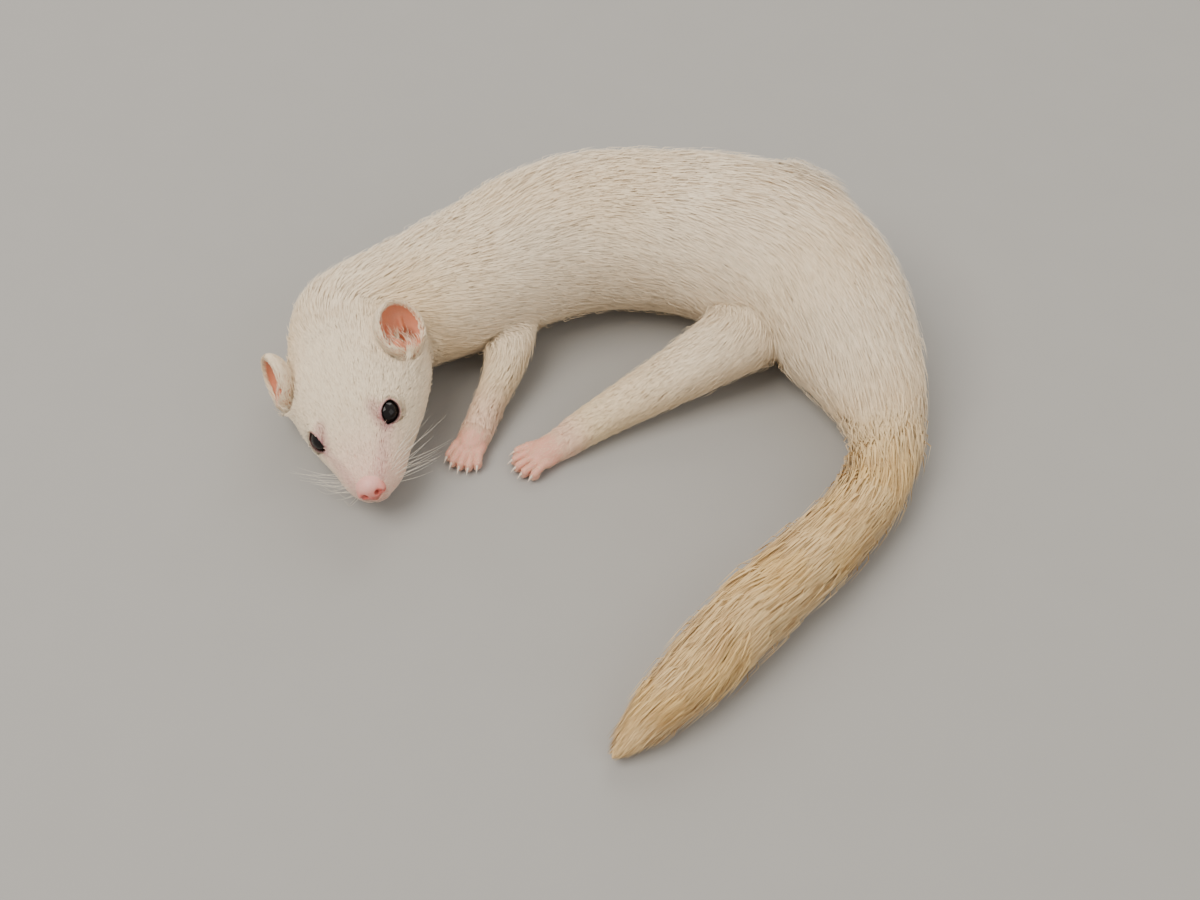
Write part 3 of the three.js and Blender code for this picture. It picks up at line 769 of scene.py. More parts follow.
def survey(skin, back, legs):
    """Fields over the skin's vertices."""
    points = corners_of(skin.data)
    normals = read(skin.data.vertex_normals, "vector").astype(float)
    local = to_head(points)
    index, angle, far = back.locate(points)
    station = back.station[index]
    ear, ear_flow = ear_fields(local)
    legs_found = [leg.locate(points) for leg in legs.values()]
    paws = [paw_frame(paw, points) for paw in PAWS]
    part = nearest_part(local, ear["ear"], far, station, legs_found, paws)

    length = np.interp(station, *TRUNK_LENGTH)
    depth = np.interp(station, *TRUNK_DEPTH)
    grown = smoothstep(station, TAIL_START, 15.2)
    tail_depth = back.size[index, 0] / CORE_SHARE * (1 - CORE_SHARE)
    tip_short = np.interp(station, [19.5, 22.5], [1, 0.45])
    length = length + (TAIL_LENGTH * tip_short - length) * grown
    depth = depth + (tail_depth - depth) * grown
    on_head = part == 0
    length[on_head] = np.interp(local[on_head, 0], *HEAD_LENGTH)
    depth[on_head] = np.interp(local[on_head, 0], *FACE_DEPTH)
    flow = np.where(on_head[:, None], -HEAD_AHEAD, back.ahead[index])
    u = np.where(on_head, (local[:, 0] + 50) / 130, back.reach[index] / back.reach[-1])
    v = np.where(on_head, np.arctan2(local[:, 2] + 4, local[:, 1]), angle)
    bare, wrist = np.zeros(len(points)), np.zeros(len(points))
    for i, (name, leg) in enumerate(legs.items()):
        rows = part == i + 3
        k, turn, _ = (values[rows] for values in legs_found[i])
        length[rows] = np.interp(leg.t[k], *LEG_LENGTH)
        depth[rows] = leg_depth(name, leg.t[k])
        flow[rows] = leg.ahead[k]
        u[rows] = 0.6 * leg.reach[k] / leg.reach[-1]
        v[rows] = turn
        own = paws[i]
        size = PAWS[paw_of(name)][2]
        near = rows & (own[:, 0] > -6)
        share = smoothstep(own[:, 0], 0, size["palm"] * 0.7) * near
        bare = np.maximum(bare, share)
        wrist = np.where(rows, smoothstep(own[:, 0], -size["wrist"], 2), wrist)
        length = length * (1 - share) + PAW_LENGTH * share
        depth = depth * (1 - share) + PAW_DEPTH * share
        flow = mixed(flow, PAW_TURNS[paw_of(name)][:, 0], share)
        u = np.where(near, 0.6 + 0.012 * np.clip(own[:, 0], 0, 33), u)
        v = np.where(near, np.arctan2(own[:, 2] - 3, own[:, 1]), v)
    length, depth = spread(skin.data, np.stack([length, depth], 1), LENGTH_ROUNDS).T
    weight = ear["ear"][:, None]
    flow = flow * (1 - weight) + ear_flow * weight
    flow += DOWNHILL * (part[:, None] != 2) * (1 - weight)
    flow = spread(skin.data, along_surface(flow, normals), FLOW_ROUNDS, normals)
    lid, hairless = np.full(len(points), 99.0), np.full(len(points), 99.0)
    for side in (1, -1):
        opening = lid_opening(side)(local)
        notch = tear_notch(side)(local) + 0.2
        near = away(local, eye_frame(side)[0]) < 9
        lid = np.where(near, np.minimum(lid, opening), lid)
        hairless = np.where(near, np.minimum(hairless, np.minimum(opening, notch)), hairless)
    return SimpleNamespace(
        points=points, normals=normals, local=local, part=part, station=station, length=length,
        depth=depth, bare=bare, wrist=wrist, u=u, v=v, flow=flow, lid=lid, hairless=hairless,
        tear=tear_marks_and_painted_shade(local), **ear,
    )


def tear_marks_and_painted_shade(local):
    """The thin-haired pink in front of each eye and the line from it down to the nose, which the
    colours lay on in mauve as painted shade of the notch at the eye's corner and of the crease down the
    side of the muzzle.
    """
    mark = np.zeros(len(local))
    for side in (1, -1):
        spots = ((54, 13, 3.5), (48, 11.5, 9.5), (69, 5, -4))
        corner, inner, nose = (mirrored(spot, side) for spot in spots)
        near = fade(capsule(corner, inner, 0)(local), 1, 5) * 0.8
        near = np.maximum(near, 1.15 * fade(away(local, corner), 1, 4))
        line = fade(capsule(corner, nose, 0)(local), 0.5, 4)
        mark = np.maximum(mark, np.maximum(near, 0.5 * line))
    return mark * (local[:, 0] > 35)


def ear_fields(local):
    """How much each point belongs to an ear, its cup, the foot of the cup and the fur round the
    ear, and the ear's flow."""
    ear, cup, fringe, ruff = (np.zeros(len(local)) for _ in range(4))
    flow = np.zeros((len(local), 3))
    for side in (1, -1):
        centre, out, across, tip = ear_frame(side)

        def oval(q, radii):
            o, a, t = q @ out / radii[0], q @ across / radii[1], q @ tip / radii[2]
            return np.sqrt(o**2 + a**2 + t**2)

        q = local - centre
        o, a, t = q @ out, q @ across, q @ tip
        shell = oval(q, EAR_SHELL)
        near = (shell < 1.25) & (skull_shape()(local) > 0.8)
        ear = np.where(near, fade(shell, 1.05, 1.25), ear)
        round_it = smoothstep(shell, 1, 1.15) * fade(shell, 1.4, 2)
        ruff = np.maximum(ruff, round_it * smoothstep(-t, -2, 4) * (np.abs(a) < 12))
        hollow = oval(q - out * HOLLOW_OUT, EAR_HOLLOW)
        inside = (o > -5) & (o < 4.5) & (np.hypot(a, t) < 9.6)
        cup = np.where(inside, fade(hollow, 1.0, 1.12), cup)
        fringe = np.where(inside, cup * smoothstep(-t - 0.4 * a * side, 0, 4), fringe)
        flow = np.where(near[:, None], (tip + 0.3 * unit(q)) @ HEAD, flow)
    return {"ear": ear, "cup": cup, "fringe": fringe, "ruff": ruff}, flow


def spread(mesh, values, rounds, normals=None):
    """Columns of values smoothed over the mesh. With normals they are ways along its surface."""
    a, b = read(mesh.edges, "vertices", np.int32, 2).T
    ends, others = np.concatenate([a, b]), np.concatenate([b, a])
    count = np.maximum(np.bincount(ends, minlength=len(values)), 1)[:, None]
    for _ in range(rounds):
        sums = np.stack([np.bincount(ends, row[others], len(values)) for row in values.T], 1)
        values = 0.4 * values + 0.6 * sums / count
        if normals is not None:
            values = along_surface(values, normals)
    return values


# Colours, the same for the skin and for the coat on it

WHITE = np.array((0.92, 0.765, 0.56))
CREAM = np.array((0.84, 0.63, 0.36))
TAIL = np.array((0.75, 0.5, 0.2))
FLECK = np.array((0.5, 0.3, 0.12))
PINK_FACE = np.array((0.86, 0.52, 0.44))
PINK_BARE = np.array((0.78, 0.37, 0.28))
PINK_EAR = np.array((0.62, 0.2, 0.1))
EAR_DEEP = np.array((0.3, 0.06, 0.015))
# a colour of painted shade, laid round the lids and in the tear marks
MAUVE_SHADE = np.array((0.52, 0.23, 0.25))
NOSE_PALE = np.array((0.8, 0.42, 0.36))
NOSE_PINK = np.array((0.74, 0.29, 0.24))
NOSE_RED = np.array((0.58, 0.13, 0.1))
LID_DARK = np.array((0.06, 0.025, 0.022))
SKIN_GLOW = (0.003, 0.0012, 0.0008)  # metres that red, green and blue light go under the skin


def mixed(a, b, share):
    share = np.asarray(share, float)[:, None]
    return a * (1 - share) + b * share


def layered(tone, *layers):
    """A colour for each point with others laid over it, each by its own share."""
    for colour, share in layers:
        tone = mixed(tone, colour, share)
    return tone


def coat_tone(fields):
    """The coat's colour over the skin's vertices, with painted shade in the tear marks."""
    points, local, part = fields.points, fields.local, fields.part
    on_head = part == 0
    low = 0.75 * fade(points[:, 2], 4, 32) * (part != 2) * ~on_head
    patches = 0.3 * smoothstep(ripple(points, 60, 3), -0.2, 1.2) * ~on_head
    behind_ears = 0.45 * fade(away(np.abs(local), (2, 26, 8)), 6, 24) * (local[:, 0] < 30)
    tail = smoothstep(fields.station, 12, 15.5) * np.isin(part, [1, 2])
    tail = tail * (0.8 + 0.2 * smoothstep(ripple(points, 18, 5), -0.6, 1))
    face = on_head * smoothstep(local[:, 0], 44, 72)
    return layered(
        np.tile(WHITE, (len(points), 1)),
        (CREAM, low),
        (CREAM, patches),
        (CREAM, behind_ears),
        (TAIL, tail),
        (PINK_FACE, np.maximum(0.62 * face, 0.5 * fields.wrist)),
        # painted shade in the notch at each eye's corner and along the crease down the muzzle
        (MAUVE_SHADE, 0.6 * fields.tear),
    )


def skin_tone(fields):
    """The skin's own colour where the coat is thin, and the coat's elsewhere, with painted shade round
    the lids and in the tear marks.
    """
    local = fields.local
    on_head = fields.part == 0
    canals = []
    for side in (1, -1):
        centre, out, across, tip = ear_frame(side)
        canal = centre - out * 2.5 + across * side * 3.4 - tip * 3.8
        canals.append((EAR_DEEP, fade(away(local, canal), 2, 5)))
    line = np.interp(local[:, 0], MOUTH_X, MOUTH_Z)
    lips = (local[:, 0] > 50) * fade(np.abs(local[:, 2] - line), 0.4, 1.6) * on_head
    return layered(
        coat_tone(fields),
        (PINK_BARE, 0.55 * (on_head * smoothstep(local[:, 0], 40, 72))),
        (PINK_BARE, 0.9 * fields.bare),
        # painted shade in the notch at each eye's corner and along the crease down the muzzle
        (MAUVE_SHADE, 0.75 * fields.tear),
        (PINK_EAR, 0.6 * fields.ear),
        (PINK_EAR, 0.95 * fields.cup),
        *canals,
        # painted shadow round the lid opening
        (MAUVE_SHADE, 0.7 * fade(fields.lid, 0.5, 1.7)),
        (LID_DARK, 0.95 * fade(fields.lid, 0.2, 0.8)),
        (PINK_BARE * 0.8, 0.7 * lips),
    )


# Tufts: flat, tapered, closed slivers of hair

class Tufts:
    """Roots scattered over the skin, with every field of the skin at each root."""

    def __init__(self, skin, fields, density):
        mesh = skin.data
        mesh.calc_loop_triangles()
        corners = read(mesh.loop_triangles, "vertices", np.int32)
        a, b, c = (fields.points[corners[:, i]] for i in range(3))
        area = np.linalg.norm(np.cross(b - a, c - a), axis=1) / 2
        weight = np.cumsum(area * density[corners].mean(1))
        count = int(weight[-1])
        chosen = np.searchsorted(weight, (np.arange(count) + rng.random(count)) * weight[-1] / count)
        corner = corners[np.minimum(chosen, len(corners) - 1)]
        r1, r2 = np.sqrt(rng.random(count)), rng.random(count)
        share = np.stack([1 - r1, r1 * (1 - r2), r1 * r2], 1)
        self.count = count
        main = corner[np.arange(count), share.argmax(1)]
        for name, values in vars(fields).items():
            if name in ("part", "v"):  # neither can be averaged
                values = values[main]
            elif values.ndim == 2:
                values = np.einsum("ij,ijk->ik", share, values[corner])
            else:
                values = np.einsum("ij,ij->i", share, values[corner])
            setattr(self, name, values)
        self.normals = unit(self.normals)
        self.flow = along_surface(self.flow, self.normals)


def lay(tree, starts, ways, reach, height):
    """Points this far along the lie and this high over the skin, which is followed."""
    goals = starts + ways * reach[:, None]
    laid = np.empty_like(goals)
    for i, goal in enumerate(goals * MM):
        place, normal, _, _ = tree.find_nearest(goal)
        laid[i] = np.array(place) / MM + np.array(normal) * height[i]
    return laid


WISPS = [
    # middle of a place where the coat stands out, reach, share of the depth by which it does
    ((82, 10, 50), 22, 1.7),
    ((-122, -36, 34), 14, 0.7),
]
STRAYS = 0.1  # share of the tufts that stand out on their own
CLUMP_TUFTS = 20
CLUMP_REACH = 5


def comb(tufts, tree, sway, clumping, lift):
    """Tips of the tufts: they sway, gather in clumps and stand out here and there."""
    side = np.cross(tufts.normals, tufts.flow)
    turn = sway * (0.5 * rng.normal(size=tufts.count) + 0.7 * ripple(tufts.points, 26, 21))
    way = unit(tufts.flow * np.cos(turn)[:, None] + side * np.sin(turn)[:, None])
    length = tufts.length * rng.uniform(0.7, 1.15, tufts.count)
    standing = smoothstep(ripple(tufts.points, 17, 22), 0.35, 1.2) * lift
    standing += lift * 5 * rng.random(tufts.count) ** 2 * (rng.random(tufts.count) < STRAYS)
    for place, reach, share in WISPS:
        near = fade(away(tufts.points, place), reach * 0.4, reach)
        standing += share * near * (rng.random(tufts.count) ** 3)
    standing += tufts.ruff * rng.uniform(0.1, 0.5, tufts.count)
    height = tufts.depth * (rng.uniform(0.7, 1.0, tufts.count) + standing)
    tips = lay(tree, tufts.points, way, length * 0.97, height)
    seeds = rng.choice(tufts.count, tufts.count // CLUMP_TUFTS, replace=False)
    near = KDTree(len(seeds))
    for i, k in enumerate(seeds):
        near.insert(tufts.points[k], i)
    near.balance()
    owner = np.array([seeds[near.find(p)[1]] for p in tufts.points])
    pull = (clumping * rng.uniform(0.4, 1, tufts.count))[:, None]
    gap = np.linalg.norm(tufts.points[owner] - tufts.points, axis=1, keepdims=True)
    tips = tips + pull * (tips[owner] - tips) * (gap < CLUMP_REACH)
    tips[:, 2] = np.maximum(tips[:, 2], FLOOR + 0.1)
    return tips


# Faces of a closed tuft. Corners 0, 1 and 2 are its sides and its ridge where it bends over to lie
# flat, 3 is its tip and 4 its root.
TUFT = np.array([(2, 0, 3), (1, 2, 3), (0, 1, 3), (0, 2, 4), (2, 1, 4), (1, 0, 4)])
# painted shade and light on each tuft: darker at the root, deep in the coat, and lighter along the
# ridge and at the tip
TUFT_PAINTED_SHADING = np.array((0.95, 0.95, 0.98, 1.02, 0.88))  # of the tuft's colour, at each corner
TUFT_LEAN = np.array((0.3, -0.3, 0, 0, 0))  # how far a corner's normal turns to the side
ROOT_DEPTH = 0.35  # under the skin
PATCH = 0.003  # across a tuft's patch on the unwrap
CORNER_SPOTS = np.array([(-0.5, -0.1), (0.5, -0.1), (0, 0.1), (0, 0.5), (0, -0.5)]) * PATCH


def grow(name, tufts, tips, width, material, keep):
    """One coat piece: its tufts, their colours and their places on the unwrap."""
    pick = np.flatnonzero(keep)
    count = len(pick)
    roots, normals = tufts.points[pick], tufts.normals[pick]
    tips, half = tips[pick], width[pick, None] / 2
    ahead = unit(tips - roots)
    side = unit(np.cross(ahead, normals))
    out = np.cross(side, ahead)
    deep = roots - normals * ROOT_DEPTH
    rise = dot(tips - roots, normals)
    middle = roots * 0.62 + tips * 0.38 + normals * np.maximum(0.6 * rise, 0.2)
    across, ridge = side * half, out * half * 0.6
    corners = np.stack([middle + across, middle - across, middle + ridge, tips, deep], 1)
    corners[..., 2] = np.maximum(corners[..., 2], FLOOR)
    faces = (TUFT[None] + 5 * np.arange(count)[:, None, None]).reshape(-1)
    mesh = bpy.data.meshes.new(name)
    mesh.vertices.add(count * 5)
    mesh.vertices.foreach_set("co", (corners * MM).astype(np.float32).ravel())
    mesh.loops.add(len(faces))
    mesh.loops.foreach_set("vertex_index", faces.astype(np.int32))
    mesh.polygons.add(len(faces) // 3)
    mesh.polygons.foreach_set("loop_start", np.arange(0, len(faces), 3, dtype=np.int32))
    mesh.polygons.foreach_set("use_smooth", np.ones(len(faces) // 3, bool))
    mesh.update(calc_edges=True)
    place_on_unwrap(mesh, tufts.u[pick], tufts.v[pick], faces)
    colour = tufts.tone[pick] * np.clip(rng.normal(1, 0.04, (count, 1)), 0.85, 1.12)
    flecked = rng.random(count) < tufts.fleck[pick]
    colour[flecked] = FLECK * 0.6 + colour[flecked] * 0.4
    # the tufts' colours, with painted shade at their roots and painted light at their ridges and tips
    paint(mesh, (colour[:, None] * TUFT_PAINTED_SHADING[:, None]).reshape(-1, 3))
    # the underside's normals point ahead, so that it isn't dark when seen against the lie
    side, out = side[:, None], out[:, None]
    uneven = 0.13 * rng.normal(size=(count, 1, 3))
    facing = unit(normals[:, None] + TUFT_LEAN[:, None] * side + 0.25 * out + uneven)
    under = TUFT_LEAN[:3, None] * side + 0.8 * ahead[:, None] - 0.6 * out
    loops = facing[:, TUFT]
    loops[:, 2] = loops[:, 5] = unit(under)
    mesh.normals_split_custom_set(loops.reshape(-1, 3).astype(np.float32))
    mesh.materials.append(material)
    made = linked(name, mesh)
    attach(made, "root")
    return made


def place_on_unwrap(mesh, u, v, faces):
    """Each tuft's patch lies at its root's place on the unwrap of the skin's lines."""
    u = (u - u.min()) / max(np.ptp(u), 1e-6)
    v = (v + math.pi) / (2 * math.pi)
    spots = np.stack([u, v], 1) * (1 - 4 * PATCH) + 2 * PATCH
    spots = np.clip(spots, 2 * PATCH, 1 - 2 * PATCH)
    corner = spots[:, None] + CORNER_SPOTS
    layer = mesh.uv_layers.new(name="OFBake")
    layer.data.foreach_set("uv", corner.reshape(-1, 2)[faces].astype(np.float32).ravel())


TUFT_HABITS = np.array([
    # how far tufts sway, gather in clumps and stand out, and their width
    (0.12, 0.11, 0.07, 0.55),  # head, at its back
    (0.14, 0.11, 0.12, 0.52),  # trunk
    (0.16, 0.4, 0.16, 0.75),  # tail
    (0.2, 0.11, 0.12, 0.46),  # legs
])
HEAD_WIDTH = ([-20, 30, 60], [TUFT_HABITS[0, 3], 0.46, 0.36])
EAR_HAIR = (3.2, 1.1, 0.36)  # length, depth and width
FRINGE_HAIR = (6, 1.6, 0.16)
COAT_PIECES = {
    # the part, and the stretch of the head or of the back that a piece covers
    "coat_crown": (0, -99, 10),
    "coat_brow": (0, 10, 36),
    "coat_muzzle": (0, 36, 99),
    "coat_neck": (1, -1, 4.6),
    "coat_chest": (1, 4.6, 6.9),
    "coat_waist": (1, 6.9, 9.1),
    "coat_hips_front": (1, 9.1, 11.2),
    "coat_hips_back": (1, 11.2, 99),
    "coat_tail": (2, -1, 99),
    **{f"coat_{leg}": (i + 3, -1, 99) for i, leg in enumerate(LEGS)},
}
HEAD_DENSITY, FACE_EXTRA, TRUNK_DENSITY, LEG_DENSITY = 4.6, 3, 3.15, 3.7
TAIL_DENSITY, FRINGE_DENSITY = 2.3, 0.7


def coat_density(mesh, fields, tail_share):
    """Tufts to a square millimetre over the skin's vertices."""
    on_head = fields.part == 0
    face = smoothstep(fields.local[:, 0], 30, 60)
    density = np.where(on_head, HEAD_DENSITY + FACE_EXTRA * face, TRUNK_DENSITY)
    density = np.where(fields.part >= 3, LEG_DENSITY, density)
    density = density * (1 - 0.5 * smoothstep(-fields.normals[:, 2], 0.3, 0.8) * ~on_head)
    density = density * (1 - tail_share) + TAIL_DENSITY * tail_share
    density = density * (1 - 0.6 * fields.bare)
    density = spread(mesh, density[:, None], DENSITY_ROUNDS)[:, 0]
    density = density * fade(fields.cup, 0, 0.6) + FRINGE_DENSITY * fields.fringe
    density = density * smoothstep(fields.hairless, 0.7, 1.3) * (1 - 0.4 * fields.tear)
    pad = away(fields.local, (73, 0, -6))
    return density * smoothstep(pad, 4.6, 6)


def make_coat(skin, fields, tree, fur, tail_fur):
    tail_share = smoothstep(fields.station, TAIL_START, 15) * np.isin(fields.part, [1, 2])
    streaks = smoothstep(ripple(fields.points, 16, 41), 0.5, 1.3)
    fields.tone = coat_tone(fields)
    fields.fleck = tail_share * (0.03 + 0.5 * streaks)
    tufts = Tufts(skin, fields, coat_density(skin.data, fields, tail_share))
    on_head = tufts.part == 0
    ear = (tufts.ear > 0.4) & (tufts.fringe < 0.3)
    fringe = tufts.fringe >= 0.3
    sway, clumping, lift, width = TUFT_HABITS[np.minimum(tufts.part, 3)].T
    width = np.where(on_head, np.interp(tufts.local[:, 0], *HEAD_WIDTH), width)
    for found, hair in ((ear, EAR_HAIR), (fringe, FRINGE_HAIR)):
        tufts.length[found], tufts.depth[found], width[found] = hair
    tufts.length += 2.5 * tufts.ruff * ~ear
    tufts.length = np.minimum(tufts.length, 0.3 + 0.8 * tufts.hairless)
    tips = comb(tufts, tree, sway, clumping, lift)
    width = width * (1 - 0.5 * tufts.bare) * rng.uniform(0.7, 1.25, tufts.count)
    along = np.where(on_head, tufts.local[:, 0], tufts.station)
    for name, (part, low, high) in COAT_PIECES.items():
        keep = (tufts.part == part) & (along > low) & (along <= high)
        look = tail_fur if name == "coat_tail" else fur
        piece = grow(name, tufts, tips, width, look, keep)


# Materials

BUMP_HEIGHT = 0.0002  # metres


def make_material(name, roughness, scale, low, high, bumpiness=0, colour=None, **sockets):
    """A colour, or else the attribute tone, times noise between two values, with a fine bump.

    scale counts the noise's waves in a metre of the object's own coordinates.
    """
    material = bpy.data.materials.new(name)
    material.use_nodes = True
    nodes, links = material.node_tree.nodes, material.node_tree.links
    shader = nodes["Principled BSDF"]
    for key, value in {"Roughness": roughness, **sockets}.items():
        shader.inputs[key.replace("_", " ")].default_value = value
    place = nodes.new("ShaderNodeTexCoord")

    def noise(waves, detail, goal):
        node = nodes.new("ShaderNodeTexNoise")
        node.inputs["Scale"].default_value = waves
        node.inputs["Detail"].default_value = detail
        links.new(place.outputs["Object"], node.inputs["Vector"])
        links.new(node.outputs["Fac"], goal)

    if colour is None:
        base = nodes.new("ShaderNodeAttribute")
        base.attribute_name = "tone"
    else:
        base = nodes.new("ShaderNodeRGB")
        base.outputs[0].default_value = (*colour, 1)
    band = nodes.new("ShaderNodeMapRange")
    band.inputs["To Min"].default_value = low
    band.inputs["To Max"].default_value = high
    noise(scale, 3, band.inputs["Value"])
    mix = nodes.new("ShaderNodeVectorMath")
    mix.operation = "SCALE"
    links.new(base.outputs["Color"], mix.inputs[0])
    links.new(band.outputs["Result"], mix.inputs["Scale"])
    links.new(mix.outputs["Vector"], shader.inputs["Base Color"])
    if bumpiness:
        bump = nodes.new("ShaderNodeBump")
        bump.inputs["Strength"].default_value = bumpiness
        bump.inputs["Distance"].default_value = BUMP_HEIGHT
        noise(scale * 2, 4, bump.inputs["Height"])
        links.new(bump.outputs["Normal"], shader.inputs["Normal"])
    return material


# Eyes, nose, claws and whiskers

def smooth_mesh(piece, material):
    faces = piece.data.polygons
    faces.foreach_set("use_smooth", np.ones(len(faces), bool))
    faces.foreach_set("material_index", np.zeros(len(faces), np.int32))
    piece.data.materials.clear()
    piece.data.materials.append(material)
    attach(piece, "root")


def make_eye(name, side, material):
    centre, long, tall, look = eye_frame(side)
    ball = bmesh.new()
    bmesh.ops.create_uvsphere(ball, u_segments=48, v_segments=32, radius=EYE_RADIUS * MM)
    for vertex in ball.verts:
        rise = max(0.0, vertex.co.z / (EYE_RADIUS * MM) - 0.75) / 0.25
        vertex.co *= 1 + 0.035 * rise  # the cornea bulges a little
    axes = HEAD.T @ np.stack([long, tall, look], 1)
    matrix = Matrix(axes.tolist()).to_4x4()
    matrix.translation = Vector(to_world(centre) * MM)
    ball.transform(matrix)
    mesh = bpy.data.meshes.new(name)
    ball.to_mesh(mesh)
    ball.free()
    made = linked(name, mesh)
    smooth_mesh(made, material)
    return made


def tube(points, radii, sides):
    """Vertices and faces of a closed thin tube along points."""
    ahead = unit(np.gradient(points, axis=0))
    side = unit(np.cross(ahead, (0.3, 0.2, 0.93)))
    up = np.cross(side, ahead)
    angle = np.linspace(0, 2 * math.pi, sides, endpoint=False)[None, :, None]
    ring = np.cos(angle) * side[:, None] + np.sin(angle) * up[:, None]
    body = points[:, None] + radii[:, None, None] * ring
    last = (len(points) - 1) * sides
    ends = [tuple(range(sides))[::-1], tuple(range(last, last + sides))]
    return body.reshape(-1, 3), band(len(points), sides) + ends


def make_claws(name, material):
    tubes = []
    for root, way, length in toes(name):
        f = np.linspace(0, 1, 7)[:, None]
        start = root + way * (length - 0.4) + (0, 0, 3.6)
        line = start + way * CLAW_LENGTH * f + np.array((0, 0, 1)) * (0.6 * f - 3 * f**2)
        tubes.append(tube(paw_world(name, line), CLAW_RADIUS * (1 - 0.9 * f[:, 0] ** 1.5), 8))
    smooth_mesh(gathered("claws_" + name, tubes), material)


def make_whiskers(tree, material):
    tubes = []
    draw = np.random.default_rng(31)
    for side, row, column in product((1, -1), range(4), range(5)):
        spot = mirrored((68 - 2.6 * column, 8.5, -5.5 - 2.3 * row), side)
        root, normal, _, _ = tree.find_nearest(to_world(spot) * MM)
        root, normal = np.array(root) / MM, np.array(normal)
        back = unit(np.array((-0.55, 0.75 * side, 0.25 - 0.22 * row)) @ HEAD)
        length = draw.uniform(12, 17) + 2.2 * column
        f = np.linspace(0, 1, 8)[:, None]
        droop = np.array((0, 0, -1)) * length * 0.16 * f**2
        swept = -HEAD_AHEAD * length * 0.3 * f**2
        way = unit(0.55 * normal + back + 0.12 * draw.normal(size=3))
        line = root - normal * 0.6 + way * length * f * 0.9 + droop + swept
        line[:, 2] = np.maximum(line[:, 2], FLOOR + 0.3)
        tubes.append(tube(line, 0.1 * (1 - 0.85 * f[:, 0]), 5))
    smooth_mesh(gathered("whiskers", tubes), material)


# Stage

CAMERA_TARGET = (0, -0.11, 0.025)
CAMERA_DISTANCE = 0.59
CAMERA_ELEVATION = 52
CAMERA_LENS = 45.6
FLOOR_REACH = 3000
LAMP_TARGET = (0, -0.08, 0.03)
LAMPS = [
    # name, place, energy, size, colour
    ("key", (-1.1, -0.44, 2.1), 53, 1.55, (1, 0.945, 0.86)),
    ("fill", (2, -1.1, 1.3), 14.5, 2, (1, 0.96, 0.9)),
    ("back", (0.6, 2.6, 1.75), 38, 1.75, (1, 0.96, 0.9)),
]


def make_stage():
    corners = [(x * FLOOR_REACH, y * FLOOR_REACH, 0) for x, y in ((-1, -1), (1, -1), (1, 1), (-1, 1))]
    floor = new_mesh("floor", corners, [(0, 1, 2, 3)])
    pale = (0.36, 0.35, 0.335)
    floor.data.materials.append(
        make_material("floor", 0.9, 40, 0.98, 1.02, colour=pale, Specular_IOR_Level=0.2)
    )
    world = bpy.data.worlds.new("room")
    bpy.context.scene.world = world
    world.use_nodes = True
    sky = world.node_tree.nodes["Background"]
    sky.inputs["Color"].default_value = (1, 0.975, 0.93, 1)
    sky.inputs["Strength"].default_value = 0.7
    for name, place, energy, size, colour in LAMPS:
        light = bpy.data.lights.new(name, "AREA")
        light.energy, light.size, light.color = energy, size, colour
        lamp = linked(name, light)
        lamp.location = place
        aim = Vector(LAMP_TARGET) - Vector(place)
        lamp.rotation_euler = aim.to_track_quat("-Z", "Y").to_euler()


def make_camera():
    rise = math.radians(CAMERA_ELEVATION)
    back = Vector((0, -math.cos(rise), math.sin(rise)))
    data = bpy.data.cameras.new("camera")
    data.sensor_width, data.lens = 36, CAMERA_LENS
    data.clip_start = 0.01
    camera = linked("camera", data)
    camera.location = Vector(CAMERA_TARGET) + back * CAMERA_DISTANCE
    camera.rotation_euler = (-back).to_track_quat("-Z", "Y").to_euler()
    bpy.context.scene.camera = camera


def paint(mesh, tone):
    """Colours as an attribute of a mesh's vertices."""
    colours = np.ones((len(tone), 4), np.float32)
    colours[:, :3] = np.clip(tone, 0, 1)
    layer = mesh.color_attributes.new("tone", "FLOAT_COLOR", "POINT")
    layer.data.foreach_set("color", colours.ravel())


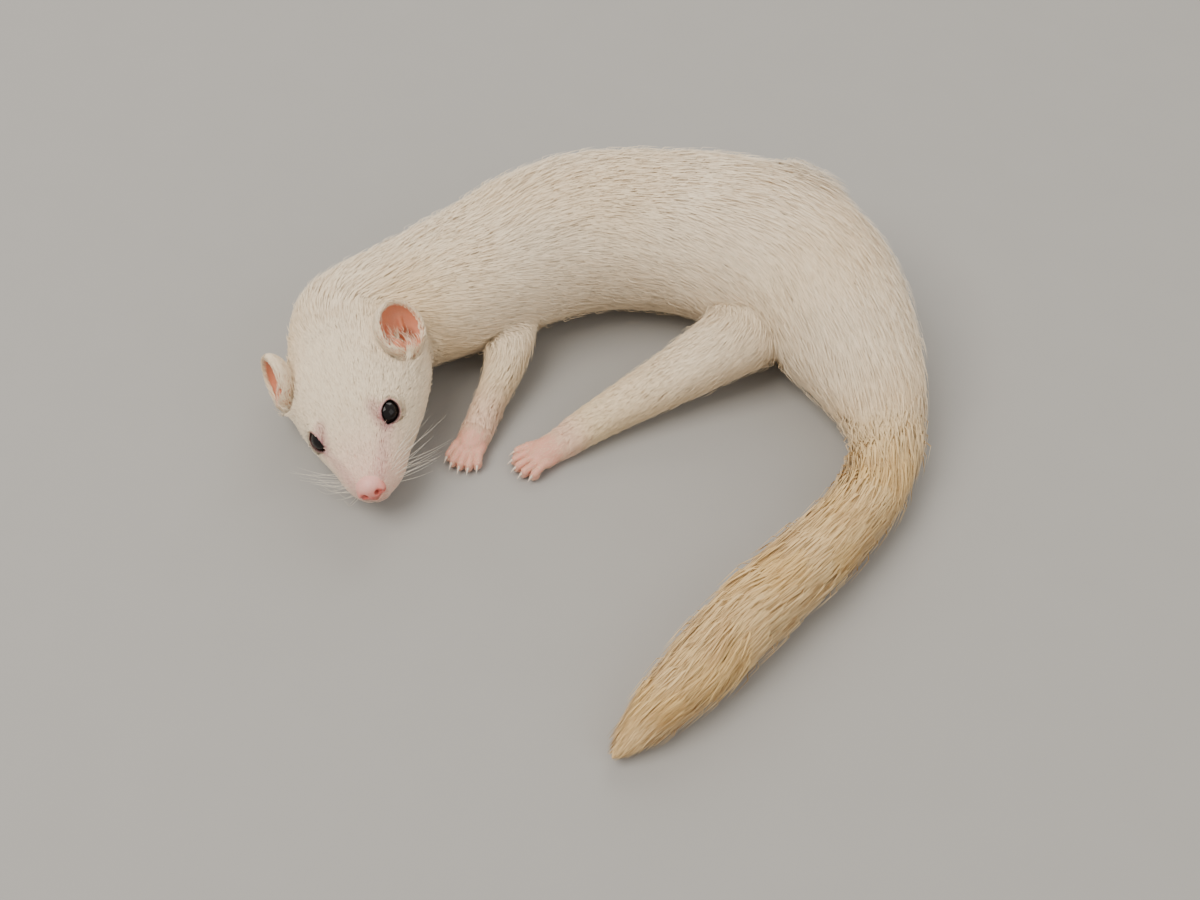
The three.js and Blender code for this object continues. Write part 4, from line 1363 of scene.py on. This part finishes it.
def nose_tone(local):
    """Pale on top, where fine hair ends, and reddest along the lower edge and in the nostrils."""
    below = -local[:, 2]
    hole = np.linalg.norm((np.abs(local) - (74, 3.1, 6.5)) / (3, 1.4, 1.7), axis=1)
    red = np.maximum(smoothstep(below, 5.5, 9), fade(hole, 0.7, 1.5))
    pale = np.tile(NOSE_PALE, (len(local), 1))
    return layered(pale, (NOSE_PINK, smoothstep(below, 2.5, 5.5)), (NOSE_RED, red))


def main():
    back = back_line()
    legs = {name: leg_line(name) for name in LEGS}
    skin = make_skin(back, legs)
    fields = survey(skin, back, legs)
    paint(skin.data, skin_tone(fields))
    glow = {"Subsurface_Radius": SKIN_GLOW}
    bare = make_material("skin", 0.55, 1200, 0.9, 1.08, 0.35, Subsurface_Weight=0.25, **glow)
    smooth_mesh(skin, bare)
    flesh = [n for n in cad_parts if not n.startswith(("eye", "nose"))]
    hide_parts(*flesh)
    tree = BVHTree.FromObject(skin, bpy.context.evaluated_depsgraph_get())
    eye = make_material("eye", 0.05, 300, 0.9, 1.1, colour=(0.006, 0.004, 0.004), IOR=1.34)
    for name, side in (("left", 1), ("right", -1)):
        piece = make_eye(f"eyeball_{name}", side, eye)
        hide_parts(f"eye_{name}")
    pad = make_material("nose", 0.34, 1500, 0.9, 1.1, 0.5, Subsurface_Weight=0.2, **glow)
    nose = new_mesh("nose_pad", *nose_clay())
    apply(nose, "SMOOTH", factor=0.5, iterations=2)
    paint(nose.data, nose_tone(to_head(corners_of(nose.data))))
    smooth_mesh(nose, pad)
    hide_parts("nose")
    horn = make_material("claw", 0.35, 900, 0.9, 1.1, 0.1, (0.78, 0.66, 0.56))
    for name in PAWS:
        make_claws(name, horn)
    make_whiskers(tree, make_material("whisker", 0.4, 500, 0.95, 1.05, colour=(0.8, 0.73, 0.62)))
    sheen = {"Specular_IOR_Level": 0.25, "Sheen_Weight": 0.25, "Sheen_Roughness": 0.5}
    fur = make_material("coat", 0.7, 900, 0.92, 1.08, **sheen)
    tail_fur = make_material("tail_coat", 0.62, 900, 0.82, 1.12, **sheen)
    make_coat(skin, fields, tree, fur, tail_fur)


make_stage()
make_camera()
main()
